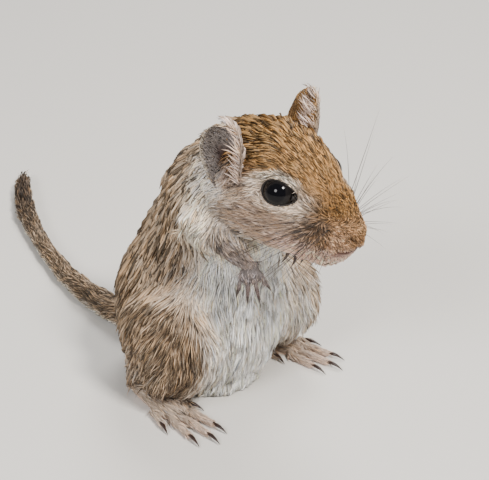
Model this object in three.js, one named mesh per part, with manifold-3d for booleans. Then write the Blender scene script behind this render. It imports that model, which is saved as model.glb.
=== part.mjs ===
// A Mongolian gerbil, a young adult, sitting up on its haunches, at life size.
// Millimetres, +Z up, +X the way the body faces, +Y its left. The origin is the middle
// of the flat under its rump, which rests on the floor together with feet and tail.
// Every solid is drawn out to the tips of the coat.
import * as THREE from "three";
import { mergeVertices } from "three/addons/utils/BufferGeometryUtils.js";
import Module from "manifold-3d";

const wasm = await Module();
wasm.setup();

const gap = 0.3; // space left between neighbouring solids
const left = 1;
const right = -1;

// Head: drawn in its own frame, nose tip at the origin and facing +X, and then placed.
// Each station: distance behind the nose tip, half width, top, height of the widest
// level, and underside.
const noseTip = new THREE.Vector3(44, 0, 48);
const headPitch = THREE.MathUtils.degToRad(9); // nose down
const headStations = [
  { back: 0, halfWidth: 0.9, top: 0.9, widest: -0.4, under: -1.6 },
  { back: 1, halfWidth: 2.2, top: 2.1, widest: -0.7, under: -4.0 },
  { back: 3, halfWidth: 4.0, top: 3.6, widest: -1.4, under: -6.6 },
  { back: 5.5, halfWidth: 5.4, top: 5.3, widest: -2.0, under: -8.6 },
  { back: 8.5, halfWidth: 6.6, top: 7.2, widest: -2.0, under: -9.9 },
  { back: 12, halfWidth: 8.1, top: 9.3, widest: -1.4, under: -10.0 },
  { back: 16, halfWidth: 9.8, top: 11.3, widest: -0.8, under: -10.1 },
  { back: 21, halfWidth: 11.5, top: 12.7, widest: -0.6, under: -10.3 },
  { back: 27, halfWidth: 12.3, top: 12.5, widest: -0.6, under: -10.8 },
  { back: 33, halfWidth: 11.6, top: 10.2, widest: -0.8, under: -11.2 },
  { back: 38, halfWidth: 9.4, top: 7.8, widest: -1.0, under: -10.0 },
  { back: 41, halfWidth: 4.5, top: 4.5, widest: -1.0, under: -6.0 },
];
const headRings = 15;
const headSides = 20;
const eyeRadius = 3.35;
const eyeCentre = { back: 16.4, out: 6.85, up: 4.4 };
const browFullness = 0.82; // power that squares the head's section, 1 being an ellipse

// Ear: a cupped leaf standing on the head, leaning out and back, its hollow turned to
// the side and forward. The angles are in radians.
const ear = { length: 14.8, halfWidth: 4.8, rootHalfWidth: 3.0, cup: 2.6, thickness: 0.8, tipForward: 1.5 };
const earRoot = { back: 27.3, out: 11.2, up: 1.7 };
const earLean = { out: 0.17, back: 0.08, turn: 0.33 };

// Trunk: oval sections along the spine, from inside the head down to the floor. It is
// parted by slanting cuts into neck, chest, belly and rump.
const trunkStations = [
  { x: 21, z: 57, halfDepth: 6.5, halfWidth: 8 },
  { x: 12.6, z: 51.5, halfDepth: 11.7, halfWidth: 12.2 },
  { x: 6.9, z: 43, halfDepth: 14.8, halfWidth: 13.6 },
  { x: 3.5, z: 33, halfDepth: 16.8, halfWidth: 15.6 },
  { x: 0.5, z: 22, halfDepth: 20, halfWidth: 19 },
  { x: -1.5, z: 11, halfDepth: 19.5, halfWidth: 18.4 },
  { x: -3.5, z: 0, halfDepth: 14.5, halfWidth: 12.6 },
  { x: -4, z: -4, halfDepth: 9, halfWidth: 8 },
];
const trunkRings = 14;
const trunkSides = 20;
const trunkCuts = { neck: 0.27, waist: 0.5, rump: 0.74 }; // fractions of the spine

// Hind leg: the thigh lies along the flank, the long foot points forward on the floor.
const thigh = { centre: [4.5, 15, 16], radii: [15.5, 8.6, 14.2], pitch: -0.35, yaw: 0.12 };
const shank = { points: [[13, 19, 13], [4, 18, 7.5], [-3, 15.8, 4.6]], radii: [6, 5, 3.6] };
const foot = {
  heel: [-5, 17], splay: 0.1, length: 18, radii: [2.6, 3.1, 3.4, 2.6], flatness: 0.75, rise: 0.85,
};
const hindToes = [
  { along: 8.5, across: -3.0, yaw: -0.3, length: 6.5, radius: 1.0 },
  { along: 15, across: -2.3, yaw: -0.12, length: 9.5, radius: 1.1 },
  { along: 16, across: -0.1, yaw: 0, length: 10.5, radius: 1.1 },
  { along: 15, across: 2.1, yaw: 0.13, length: 9.5, radius: 1.1 },
  { along: 10, across: 3.1, yaw: 0.28, length: 7, radius: 1.0 },
];
const hindClaw = { length: 2.9, radius: 0.5, droop: 0.35 };

// Fore leg: the sleeve of fur from shoulder to wrist, then the palm and four digits.
// The right paw hangs in front of the chest with its back to the right and a little up,
// and the left one is tucked up under the throat.
const foreLegs = [
  {
    side: right,
    points: [[7, -10.5, 45], [14.5, -12.3, 44.0], [19.8, -11.3, 41.2], [23.1, -10.1, 38.2]],
    wrist: [23.6, -9.9, 37.7],
    turn: { heading: -0.82, lift: -0.45, roll: 0.04 },
  },
  {
    side: left,
    points: [[7, 10.5, 45], [14.5, 11.5, 43.0], [19.6, 9.3, 41.0], [22.3, 6.4, 40.2]],
    wrist: [22.5, 5.8, 39.6],
    turn: { heading: -0.14, lift: -0.45, roll: -0.65 },
  },
];
const foreLegRadii = [6, 4.6, 3.1, 2.1];
const palm = { halfWidth: 2.5, halfDepth: 1.5, length: 2.05 };
const foreDigits = [
  { across: -2.0, down: 1.75, splay: -0.26, length: 2.75, radius: 0.5, arch: 0.42 },
  { across: -0.68, down: 2.35, splay: -0.05, length: 3.45, radius: 0.54, arch: 0.6 },
  { across: 0.7, down: 2.35, splay: 0.18, length: 3.45, radius: 0.54, arch: 0.55 },
  { across: 2.0, down: 1.7, splay: 0.55, length: 2.2, radius: 0.5, arch: 0.36 },
];
const foreClaw = { length: 1.6, radius: 0.36, droop: 0.5 };

// Tail: it lies on the floor behind, bent gently to the left, furred to its tufted end.
const tailPoints = [[-17, 0, 6], [-27, 0.4, 3.6], [-45, 3, 2.8], [-66, 10.5, 2.6],
  [-88, 22, 2.6], [-106, 36, 2.6]];
const tailRadii = [4.4, 3.8, 3.1, 2.9, 3.1, 1.6];
const tailCuts = [0.34, 0.67]; // where it is parted, as fractions of its length

const finishes = {
  back: { color: 0xa68a5d, roughness: 0.85, metalness: 0 },
  belly: { color: 0xd9cdb8, roughness: 0.88, metalness: 0 },
  limb: { color: 0xb9a688, roughness: 0.85, metalness: 0 },
  paw: { color: 0x9a8980, roughness: 0.7, metalness: 0 },
  ear: { color: 0x8d7a6c, roughness: 0.75, metalness: 0 },
  eye: { color: 0x0b0908, roughness: 0.05, metalness: 0 },
  claw: { color: 0x40332a, roughness: 0.4, metalness: 0 },
};

const animal = new THREE.Group();

// Smooth value between stations, each [position, value], at rising positions.
function smoothValue(stations, position) {
  const last = stations.length - 1;
  let i = 0;
  while (i < last - 1 && position > stations[i + 1][0]) i += 1;
  const slope = (k) => {
    const before = stations[Math.max(k - 1, 0)];
    const after = stations[Math.min(k + 1, last)];
    return (after[1] - before[1]) / (after[0] - before[0]);
  };
  const [x0, y0] = stations[i];
  const [x1, y1] = stations[i + 1];
  const span = x1 - x0;
  const t = THREE.MathUtils.clamp((position - x0) / span, 0, 1);
  const t2 = t * t;
  const t3 = t2 * t;
  return (2 * t3 - 3 * t2 + 1) * y0 + (t3 - 2 * t2 + t) * span * slope(i)
    + (3 * t2 - 2 * t3) * y1 + (t3 - t2) * span * slope(i + 1);
}

function middleOf(points) {
  const sum = points.reduce((total, point) => total.add(point), new THREE.Vector3());
  return sum.divideScalar(points.length);
}

// Closed skin over rings of points, with a pole beyond or in the middle of each end.
function skinOver(rings, poles = [middleOf(rings[0]), middleOf(rings.at(-1))]) {
  const sides = rings[0].length;
  const positions = rings.flat();
  const index = [];
  const at = (ring, side) => ring * sides + (side % sides);
  for (let ring = 0; ring < rings.length - 1; ring += 1) {
    for (let side = 0; side < sides; side += 1) {
      const [a, b] = [at(ring, side), at(ring, side + 1)];
      const [c, d] = [at(ring + 1, side), at(ring + 1, side + 1)];
      index.push(a, b, c, b, d, c);
    }
  }
  poles.forEach((pole, end) => {
    positions.push(pole);
    const tip = positions.length - 1;
    for (let side = 0; side < sides; side += 1) {
      const ring = end ? rings.length - 1 : 0;
      const [a, b] = [at(ring, side), at(ring, side + 1)];
      index.push(tip, end ? a : b, end ? b : a);
    }
  });
  const geometry = new THREE.BufferGeometry().setFromPoints(positions);
  geometry.setIndex(index);
  return geometry;
}

// The same shape on the other side of the body, its faces still pointing out.
function mirrored(geometry) {
  const copy = geometry.clone().scale(1, -1, 1);
  const index = copy.index.array;
  for (let i = 0; i < index.length; i += 3) {
    [index[i], index[i + 1]] = [index[i + 1], index[i]];
  }
  return copy;
}

// Ball of three radii, its seam and poles closed.
function ball([x, y, z], columns, rows) {
  const geometry = new THREE.SphereGeometry(1, columns, rows);
  geometry.deleteAttribute("normal");
  geometry.deleteAttribute("uv");
  return mergeVertices(geometry).scale(x, y, z);
}

function solid(geometry) {
  return new wasm.Manifold(new wasm.Mesh({
    numProp: 3,
    vertProperties: geometry.attributes.position.array,
    triVerts: geometry.index.array,
  }));
}

function geometryOf(shape) {
  const { vertProperties, triVerts } = shape.getMesh();
  const geometry = new THREE.BufferGeometry();
  geometry.setAttribute("position", new THREE.BufferAttribute(vertProperties, 3));
  geometry.setIndex(Array.from(triVerts));
  return geometry;
}

function addNode(name, shape, finish) {
  const geometry = geometryOf(shape);
  geometry.computeVertexNormals();
  const mesh = new THREE.Mesh(geometry, new THREE.MeshStandardMaterial(finishes[finish]));
  mesh.name = name;
  animal.add(mesh);
}

// Round or oval tube along points, its ends domed. The radii are spread evenly along
// it, grow is added to all of them, and flatness scales its height.
function limb(points, radii, { sides = 10, steps = 6, grow = 0, flatness = 1 } = {}) {
  const curve = new THREE.CatmullRomCurve3(points.map((p) => new THREE.Vector3(...p)));
  const length = curve.getLength() + 2 * grow;
  const stations = radii.map((radius, i) => [i / (radii.length - 1), radius + grow]);
  const rings = [];
  const along = (t) => curve.getPointAt(t)
    .addScaledVector(curve.getTangentAt(t), (2 * t - 1) * grow);
  for (let step = 1; step < steps; step += 1) {
    const t = (1 - Math.cos((Math.PI * step) / steps)) / 2;
    const radius = smoothValue(stations, t);
    const toEnd = Math.min(t, 1 - t) * length;
    const dome = Math.sqrt(1 - (1 - Math.min(toEnd / radius, 1)) ** 2);
    const tangent = curve.getTangentAt(t);
    const centre = along(t);
    const level = new THREE.Vector3(-tangent.y, tangent.x, 0);
    if (level.length() < 0.1) level.set(0, 1, 0);
    level.normalize();
    const above = new THREE.Vector3().crossVectors(tangent, level);
    const size = radius * dome;
    rings.push(Array.from({ length: sides }, (_, side) => {
      const angle = (2 * Math.PI * side) / sides;
      return centre.clone().addScaledVector(level, size * Math.cos(angle))
        .addScaledVector(above, size * flatness * Math.sin(angle));
    }));
  }
  return skinOver(rings, [along(0), along(1)]);
}

// Head frame to body frame.
const headPlace = new THREE.Matrix4().makeRotationY(headPitch).setPosition(noseTip);

function squared(value) {
  return Math.sign(value) * Math.abs(value) ** browFullness;
}

function headShape(grow = 0) {
  const value = (key, back) => smoothValue(headStations.map((s) => [s.back, s[key]]), back);
  const reach = headStations.at(-1).back;
  const rings = [];
  for (let ring = 0; ring <= headRings; ring += 1) {
    const t = ring / headRings;
    const back = reach * t ** 1.35;
    const widest = value("widest", back);
    const halfWidth = value("halfWidth", back) + grow;
    const above = value("top", back) - widest + grow;
    const below = widest - value("under", back) + grow;
    rings.push(Array.from({ length: headSides }, (_, side) => {
      const angle = (-2 * Math.PI * side) / headSides;
      const rise = squared(Math.sin(angle));
      const across = squared(Math.cos(angle));
      return new THREE.Vector3(-back + grow * (1 - 2 * t), halfWidth * across,
        widest + rise * (rise > 0 ? above : below));
    }));
  }
  return solid(skinOver(rings).applyMatrix4(headPlace));
}

function eyeBall(side, grow = 0) {
  const radius = eyeRadius + grow;
  const { back, out, up } = eyeCentre;
  const eye = ball([radius, radius, radius], 14, 9).translate(-back, side * out, up);
  return solid(eye.applyMatrix4(headPlace));
}

// The leaf's front and back faces share their rim. Its hollow faces +Y before it is
// turned, and it stands along +Z.
function earShape(side, grow = 0) {
  const rows = 8;
  const columns = 5;
  const outline = [[0, ear.rootHalfWidth], [0.25, 0.9 * ear.halfWidth], [0.55, ear.halfWidth],
    [0.8, 0.86 * ear.halfWidth], [0.93, 0.58 * ear.halfWidth], [1, 0.2 * ear.halfWidth]];
  const rings = [];
  for (let row = 0; row <= rows; row += 1) {
    const t = row / rows;
    const halfWidth = smoothValue(outline, t) + grow;
    const cup = ear.cup * (1 - 0.75 * t) * Math.min(1, (1 - t) * 6 + 0.15);
    const wall = ear.thickness / 2 + grow;
    const ring = [];
    for (let column = 0; column <= columns; column += 1) {
      const v = (2 * column) / columns - 1;
      ring.push([halfWidth * v, -cup * (1 - v * v) + wall * Math.sqrt(1 - v ** 4)]);
    }
    for (let column = columns - 1; column > 0; column -= 1) {
      const v = (2 * column) / columns - 1;
      ring.push([halfWidth * v, -cup * (1 - v * v) - wall * Math.sqrt(1 - v ** 4)]);
    }
    const height = ear.length * t + (2 * t - 1) * grow;
    const ahead = ear.tipForward * (Math.max(t - 0.45, 0) / 0.55) ** 2;
    rings.push(ring.reverse().map(([x, y]) => new THREE.Vector3(x + ahead, y, height)));
  }
  const turned = skinOver(rings).rotateZ(-earLean.turn).rotateX(-earLean.out)
    .rotateY(-earLean.back).translate(-earRoot.back, earRoot.out, earRoot.up);
  return solid((side === left ? turned : mirrored(turned)).applyMatrix4(headPlace));
}

const spine = new THREE.CatmullRomCurve3(
  trunkStations.map(({ x, z }) => new THREE.Vector3(x, 0, z)),
);

function trunkShape() {
  const last = trunkStations.length - 1;
  const value = (key, t) => smoothValue(trunkStations.map((s, i) => [i / last, s[key]]), t);
  const rings = [];
  for (let ring = 0; ring <= trunkRings; ring += 1) {
    const t = ring / trunkRings;
    const centre = spine.getPoint(t);
    const tangent = spine.getTangent(t);
    const forward = new THREE.Vector3(-tangent.z, 0, tangent.x);
    const halfDepth = value("halfDepth", t);
    const halfWidth = value("halfWidth", t);
    rings.push(Array.from({ length: trunkSides }, (_, side) => {
      const angle = (2 * Math.PI * side) / trunkSides;
      return centre.clone().addScaledVector(forward, halfDepth * Math.cos(angle))
        .add(new THREE.Vector3(0, -halfWidth * Math.sin(angle), 0));
    }));
  }
  return solid(skinOver(rings)).trimByPlane([0, 0, 1], 0);
}

// A pair's shapes are drawn on the left and turned over for the right.
function sided(geometry, side) {
  return side === left ? geometry : mirrored(geometry);
}

function thighShape(side, grow = 0) {
  const upper = ball(thigh.radii.map((radius) => radius + grow), 16, 10);
  upper.rotateY(thigh.pitch).rotateZ(thigh.yaw).translate(...thigh.centre);
  const lower = limb(shank.points, shank.radii, { grow });
  return solid(sided(upper, side)).add(solid(sided(lower, side)));
}

const footPlace = new THREE.Matrix4().makeRotationZ(foot.splay)
  .setPosition(foot.heel[0], foot.heel[1], 0);

function toePoints(toe) {
  const along = new THREE.Vector3(Math.cos(toe.yaw), Math.sin(toe.yaw), 0);
  const root = new THREE.Vector3(toe.along, toe.across, foot.rise);
  const at = (reach, lift) => root.clone().addScaledVector(along, reach).setZ(foot.rise + lift);
  return [root, at(toe.length * 0.5, 0.35), at(toe.length, 0)];
}

function soleShape(side, grow = 0) {
  const sole = limb([[0, 0, 2.4], [foot.length * 0.45, 0, 2.1], [foot.length, 0, 1.3]],
    foot.radii, { grow, flatness: foot.flatness });
  return solid(sided(sole.applyMatrix4(footPlace), side));
}

// The sole and toes are trimmed flat on the floor, a little under their round sides.
function footShape(side, grow = 0) {
  let whole = soleShape(side, grow);
  for (const toe of hindToes) {
    const digit = limb(toePoints(toe).map((p) => p.toArray()),
      [toe.radius, toe.radius * 0.95, toe.radius * 0.85], { sides: 6, steps: 4, grow });
    whole = whole.add(solid(sided(digit.applyMatrix4(footPlace), side)));
  }
  return whole.trimByPlane([0, 0, 1], 0);
}

// Curved claw that starts a gap beyond a digit's tip and droops towards -Z.
function claw(base, along, size, down) {
  const at = (reach, drop) => base.clone().addScaledVector(along, gap + reach * size.length)
    .addScaledVector(down, drop * size.length * size.droop).toArray();
  return limb([at(0, 0), at(0.5, 0.25), at(1, 1)], [size.radius, size.radius * 0.75,
    size.radius * 0.35], { sides: 5, steps: 3 });
}

function pawPlace({ wrist, turn }) {
  const euler = new THREE.Euler(turn.roll, turn.lift, turn.heading, "ZYX");
  return new THREE.Matrix4().makeRotationFromEuler(euler).setPosition(...wrist);
}

// The paw's own frame: fingers along -Z, the back of the paw facing +X.
function digitPoints({ across, down, splay, length, arch }) {
  const along = new THREE.Vector3(0, -Math.sin(splay), -Math.cos(splay));
  const at = (reach, rise) => new THREE.Vector3(0, -across, -down)
    .addScaledVector(along, reach).setX(rise);
  return [at(0, arch - 0.3), at(length * 0.5, arch), at(length, arch - 0.4)];
}

function placedPaw(piece, leg) {
  return solid(sided(piece, leg.side).applyMatrix4(pawPlace(leg)));
}

function palmShape(leg, grow = 0) {
  const hand = limb([[0, 0, 0.8], [0.2, 0, -palm.length / 2], [0, 0, -palm.length]],
    [palm.halfWidth * 0.8, palm.halfWidth, palm.halfWidth * 0.8],
    { grow, flatness: palm.halfDepth / palm.halfWidth });
  return placedPaw(hand, leg);
}

function digitShape(leg, digit, grow = 0) {
  const finger = limb(digitPoints(digit).map((p) => p.toArray()),
    [digit.radius, digit.radius, digit.radius * 0.9], { sides: 8, steps: 6, grow });
  return placedPaw(finger, leg);
}

function foreLegShape(leg, grow = 0) {
  return solid(limb(leg.points, foreLegRadii, { grow }));
}

function tailShape(grow = 0) {
  return solid(limb(tailPoints, tailRadii, { sides: 10, steps: 12, grow }))
    .trimByPlane([0, 0, 1], 0);
}

// The part of a shape between two cuts across a curve, half a gap short of each.
function stretch(shape, curve, from, to) {
  let piece = shape;
  for (const [t, way] of [[from, 1], [to, -1]]) {
    if (t > 0 && t < 1) {
      const normal = curve.getTangent(t).multiplyScalar(way);
      piece = piece.trimByPlane(normal.toArray(), normal.dot(curve.getPoint(t)) + gap / 2);
    }
  }
  return piece;
}

const nameOf = (side) => (side === left ? "left" : "right");
const headCut = headShape(gap);

let head = headShape();
for (const side of [left, right]) {
  head = head.subtract(eyeBall(side, gap));
}
addNode("head", head, "back");
for (const side of [left, right]) {
  addNode(`eye_${nameOf(side)}`, eyeBall(side), "eye");
  addNode(`ear_${nameOf(side)}`, earShape(side).subtract(headCut), "ear");
}

let trunk = trunkShape().subtract(headCut).subtract(tailShape(gap));
for (const side of [left, right]) {
  trunk = trunk.subtract(thighShape(side, gap)).subtract(soleShape(side, gap));
}
for (const leg of foreLegs) {
  trunk = trunk.subtract(foreLegShape(leg, gap)).subtract(palmShape(leg, gap));
  for (const digit of foreDigits) {
    trunk = trunk.subtract(digitShape(leg, digit, gap));
  }
}
addNode("neck", stretch(trunk, spine, 0, trunkCuts.neck), "back");
addNode("chest", stretch(trunk, spine, trunkCuts.neck, trunkCuts.waist), "belly");
addNode("belly", stretch(trunk, spine, trunkCuts.waist, trunkCuts.rump), "belly");
addNode("rump", stretch(trunk, spine, trunkCuts.rump, 1), "back");

for (const leg of foreLegs) {
  const sideName = nameOf(leg.side);
  const sleeve = foreLegShape(leg).subtract(headCut).subtract(palmShape(leg, gap));
  addNode(`fore_leg_${sideName}`, sleeve, "limb");
  addNode(`fore_paw_${sideName}`, palmShape(leg), "paw");
  foreDigits.forEach((digit, i) => {
    addNode(`fore_digit_${sideName}_${i + 1}`, digitShape(leg, digit), "paw");
    const [, knuckle, tip] = digitPoints(digit);
    const along = tip.clone().sub(knuckle).normalize();
    const nail = claw(tip, along, foreClaw, new THREE.Vector3(-1, 0, 0));
    addNode(`fore_claw_${sideName}_${i + 1}`, placedPaw(nail, leg), "claw");
  });
}

for (const side of [left, right]) {
  const sideName = nameOf(side);
  addNode(`hind_leg_${sideName}`, thighShape(side).subtract(footShape(side, gap)), "limb");
  addNode(`hind_foot_${sideName}`, footShape(side), "paw");
  hindToes.forEach((toe, i) => {
    const [, knuckle, tip] = toePoints(toe);
    const along = tip.clone().sub(knuckle).setZ(0).normalize();
    const nail = claw(tip, along, hindClaw, new THREE.Vector3(0, 0, -1));
    const placed = sided(nail.applyMatrix4(footPlace), side);
    addNode(`hind_claw_${sideName}_${i + 1}`, solid(placed), "claw");
  });
}

const tailCurve = new THREE.CatmullRomCurve3(tailPoints.map((p) => new THREE.Vector3(...p)));
const tailNames = ["tail_base", "tail_middle", "tail_tip"];
[0, ...tailCuts].forEach((from, i) => {
  const to = tailCuts[i] ?? 1;
  addNode(tailNames[i], stretch(tailShape(), tailCurve, from, to), "back");
});

export default animal;
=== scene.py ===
# Gerbil, a still life-size model that sits up on its haunches with its forepaws hanging.
# Shapes are worked out in millimetres and written to the meshes in metres.
import math

import bmesh
import bpy
import numpy as np
from mathutils import Matrix, Vector
from mathutils.bvhtree import BVHTree


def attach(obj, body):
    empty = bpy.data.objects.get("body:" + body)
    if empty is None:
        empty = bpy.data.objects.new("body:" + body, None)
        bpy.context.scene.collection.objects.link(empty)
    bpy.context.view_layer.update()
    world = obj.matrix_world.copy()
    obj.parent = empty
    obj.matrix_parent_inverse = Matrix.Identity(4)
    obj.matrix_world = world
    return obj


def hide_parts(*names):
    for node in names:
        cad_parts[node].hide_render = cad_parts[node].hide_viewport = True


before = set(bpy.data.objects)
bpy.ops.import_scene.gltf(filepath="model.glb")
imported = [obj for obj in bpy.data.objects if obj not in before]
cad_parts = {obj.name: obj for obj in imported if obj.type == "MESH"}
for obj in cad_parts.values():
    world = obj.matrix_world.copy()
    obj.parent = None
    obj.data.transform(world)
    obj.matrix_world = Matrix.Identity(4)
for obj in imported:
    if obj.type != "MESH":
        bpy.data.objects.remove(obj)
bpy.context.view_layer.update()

scene = bpy.context.scene
mm = 0.001
bothSides = {"left": 1, "right": -1}

# Camera, at the photograph's viewing angle
shot = {"azimuth": 43, "elevation": 27, "lens": 113.96, "sensor": 36,
        "place": (209.737, -211.309, 183.663)}

# The head's own frame: behind the nose tip, out to the side, up
headFrame = {"noseTip": (44, 0, 48), "pitch": math.radians(9)}

eyeSet = {"radius": 3.35, "centre": (16.4, 6.85, 4.4), "axis": (-0.35, 0.80, 0.42), "tilt": 0.10,
          "front": 3.7, "rear": 3.4, "top": 2.3, "bottom": 2.4, "rim": 0.19, "cover": 0.3, "tuck": 0.2,
          "reach": 1.95}

earSet = {"length": 14.8, "sunk": 1.5, "halfWidth": 4.8, "thickness": 0.55, "tipForward": 1.5,
          "lowForward": 1.2, "root": (27.3, 11.2, 1.7),
          "lean": {"out": 0.17, "back": 0.08, "turn": 0.33}}

foreLegs = {
    "right": [(7, -10.5, 45), (14.5, -12.3, 44.0), (19.8, -11.3, 41.2), (23.1, -10.1, 38.2)],
    "left": [(7, 10.5, 45), (14.5, 11.5, 43.0), (19.6, 9.3, 41.0), (22.3, 6.4, 40.2)],
}
pawFrames = {
    "right": {"wrist": (23.6, -9.9, 37.7), "heading": -0.82, "lift": -0.45, "roll": 0.04},
    "left": {"wrist": (22.5, 5.8, 39.6), "heading": -0.14, "lift": -0.45, "roll": -0.65},
}
spineStations = [(21, 57, 6.5, 8), (12.6, 51.5, 11.7, 12.2), (6.9, 43, 14.8, 13.6),
                 (3.5, 33, 16.8, 15.6), (0.5, 22, 20, 19), (-1.5, 11, 19.5, 18.4),
                 (-3.5, 0, 14.5, 12.6)]
tailPoints = [(-17, 0, 6), (-27, 0.4, 3.6), (-45, 3, 2.8), (-66, 10.5, 2.6), (-88, 22, 2.6),
              (-106, 36, 2.6)]
footFrame = {"heel": (-5, 17, 0), "splay": 0.1}

# What each part of the body wears: how deep the coat is over the skin, how much the joins
# are smoothed, and its tufts' number, length, width and lift
wear = {
    "head": {"nodes": ["head"], "depth": 0.9, "smooth": 8,
             "tufts": 43000, "length": 3.4, "width": 0.22, "lift": 0.8},
    "neck": {"nodes": ["neck"], "depth": 1.5, "smooth": 26,
             "tufts": 9000, "length": 4.4, "width": 0.22, "lift": 1.0},
    "chest": {"nodes": ["chest"], "depth": 2.4, "smooth": 30,
              "tufts": 14000, "length": 5.2, "width": 0.23, "lift": 0.8},
    "belly": {"nodes": ["belly"], "depth": 2.4, "smooth": 30,
              "tufts": 8500, "length": 5.6, "width": 0.27, "lift": 0.75},
    "rump": {"nodes": ["rump"], "depth": 2.2, "smooth": 30,
             "tufts": 12500, "length": 5.2, "width": 0.27, "lift": 0.75},
    "foreLeg": {"nodes": ["fore_leg_left", "fore_leg_right"], "depth": 1.0, "smooth": 12,
                "tufts": 7500, "length": 2.9, "width": 0.17, "lift": 0.8},
    "hindLeg": {"nodes": ["hind_leg_left", "hind_leg_right"], "depth": 1.9, "smooth": 26,
                "tufts": 14000, "length": 4.6, "width": 0.26, "lift": 0.7},
    "tail": {"nodes": ["tail_base", "tail_middle", "tail_tip"], "depth": 1.2, "smooth": 10,
             "tufts": 7500, "length": 2.7, "width": 0.2, "lift": 0.7},
}
skinSet = {"swell": 0.35, "voxel": 0.6, "faceBack": 23, "faceLow": 34, "spread": 70, "mostRounds": 30,
           "fineVoxel": 0.16, "footVoxel": 0.3, "soleGap": 0.25}


def smoothStep(value, low, high):
    t = np.clip((value - low) / (high - low), 0, 1)
    return t * t * (3 - 2 * t)


def unit(vectors):
    return vectors / np.maximum(np.linalg.norm(vectors, axis=-1, keepdims=True), 1e-9)


def toHead(points):
    c, s = math.cos(headFrame["pitch"]), math.sin(headFrame["pitch"])
    x = points[:, 0] - headFrame["noseTip"][0]
    z = points[:, 2] - headFrame["noseTip"][2]
    return np.stack([-x * c + z * s, points[:, 1], x * s + z * c], 1)


def headWays(ways):
    ways = np.asarray(ways, float)
    c, s = math.cos(headFrame["pitch"]), math.sin(headFrame["pitch"])
    back, out, up = ways[..., 0], ways[..., 1], ways[..., 2]
    return np.stack([-back * c + up * s, out, back * s + up * c], -1)


def fromHead(points):
    return headWays(points) + np.array(headFrame["noseTip"], float)


def gathered(items, member, width, kind=float):
    flat = np.empty(len(items) * width, kind)
    items.foreach_get(member, flat)
    return flat.reshape(-1, width)


def coordsOf(mesh):
    return gathered(mesh.vertices, "co", 3) / mm


def normalsOf(mesh):
    return gathered(mesh.vertices, "normal", 3)


def edgesOf(mesh):
    return gathered(mesh.edges, "vertices", 2, np.int32)


def facesOf(mesh):
    return [tuple(p.vertices) for p in mesh.polygons]


def setCoords(mesh, coords):
    mesh.vertices.foreach_set("co", (coords * mm).ravel())
    mesh.update()


def smoothShade(mesh):
    mesh.polygons.foreach_set("use_smooth", [True] * len(mesh.polygons))


# Stores a number, a vector or a colour for each point of a mesh
def writeField(mesh, name, values, kind="FLOAT"):
    member = {"FLOAT": "value", "FLOAT_VECTOR": "vector", "FLOAT_COLOR": "color"}[kind]
    if kind == "FLOAT_COLOR":
        values = np.append(values, np.ones((len(values), 1)), 1)
    field = mesh.attributes.new(name, kind, "POINT")
    field.data.foreach_set(member, np.asarray(values, np.float32).ravel())


def makeObject(name, data):
    thing = bpy.data.objects.new(name, data)
    scene.collection.objects.link(thing)
    return thing


def meshFrom(name, points, faces):
    mesh = bpy.data.meshes.new(name)
    mesh.from_pydata([tuple(p) for p in np.asarray(points) * mm], [], faces)
    mesh.update()
    smoothShade(mesh)
    return mesh


def dropObject(thing):
    bpy.data.objects.remove(thing, do_unlink=True)


# Averages a value with its neighbours' over the mesh, a number of times
def spread(values, edges, rounds, share=0.5):
    values = np.array(values, float)
    count = np.maximum(np.bincount(edges.ravel(), minlength=len(values)), 1)
    share = np.broadcast_to(np.asarray(share, float), len(values))
    for _ in range(rounds):
        for column in values.T:
            total = np.bincount(edges[:, 0], column[edges[:, 1]], len(column))
            total += np.bincount(edges[:, 1], column[edges[:, 0]], len(column))
            column += share * (total / count - column)
    return values


# Merged copy of CAD nodes, each swollen a little so that neighbours run together
def copyNodes(names, swell):
    points, faces = [], []
    for name in names:
        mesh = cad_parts[name].data
        raw = np.round(coordsOf(mesh), 4)
        merged, index = np.unique(raw, axis=0, return_inverse=True)
        index = index.ravel()
        polygons = [tuple(index[v] for v in p.vertices) for p in mesh.polygons]
        single = meshFrom("single", merged, [p for p in polygons if len(set(p)) == len(p)])
        moved = coordsOf(single) + swell * normalsOf(single)
        first = sum(len(p) for p in points)
        points.append(moved)
        faces += [tuple(first + v for v in p.vertices) for p in single.polygons]
        bpy.data.meshes.remove(single)
    return np.concatenate(points), faces


def remeshed(name, points, faces, voxel):
    thing = makeObject(name, meshFrom(name, points, faces))
    remesh = thing.modifiers.new("remesh", "REMESH")
    remesh.mode = "VOXEL"
    remesh.voxel_size = voxel * mm
    graph = bpy.context.evaluated_depsgraph_get()
    mesh = bpy.data.meshes.new_from_object(thing.evaluated_get(graph))
    dropObject(thing)
    smoothShade(mesh)
    return mesh


# Quads between closed rings of points, and the fans to an end point before and after them
def tubeFaces(rings, around):
    faces = []
    for ring in range(rings - 1):
        for k in range(around):
            a, b = ring * around + k, ring * around + (k + 1) % around
            faces.append((a, a + around, b + around, b))
    low, last = rings * around, (rings - 1) * around
    for k in range(around):
        faces.append((low, k, (k + 1) % around))
        faces.append((low + 1, last + (k + 1) % around, last + k))
    return faces


# Closed tube over a path, with a radius at each of its points
def tubeOver(path, radii, around=12):
    path = np.asarray(path, float)
    ways = unit(np.gradient(path, axis=0))
    side = unit(np.cross(ways, [0.13, 0.97, 0.21]))
    above = np.cross(side, ways)
    turn = 2 * np.pi * np.arange(around) / around
    rings = (path[:, None] + np.asarray(radii, float)[:, None, None]
             * (np.cos(turn)[:, None] * side[:, None] + np.sin(turn)[:, None] * above[:, None]))
    points = np.concatenate([rings.reshape(-1, 3), path[:1], path[-1:]])
    return points, tubeFaces(len(path), around)


def joined(parts):
    points, faces, first = [], [], 0
    for partPoints, partFaces in parts:
        points.append(np.asarray(partPoints, float))
        faces += [tuple(first + v for v in face) for face in partFaces]
        first += len(partPoints)
    return np.concatenate(points), faces


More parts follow.
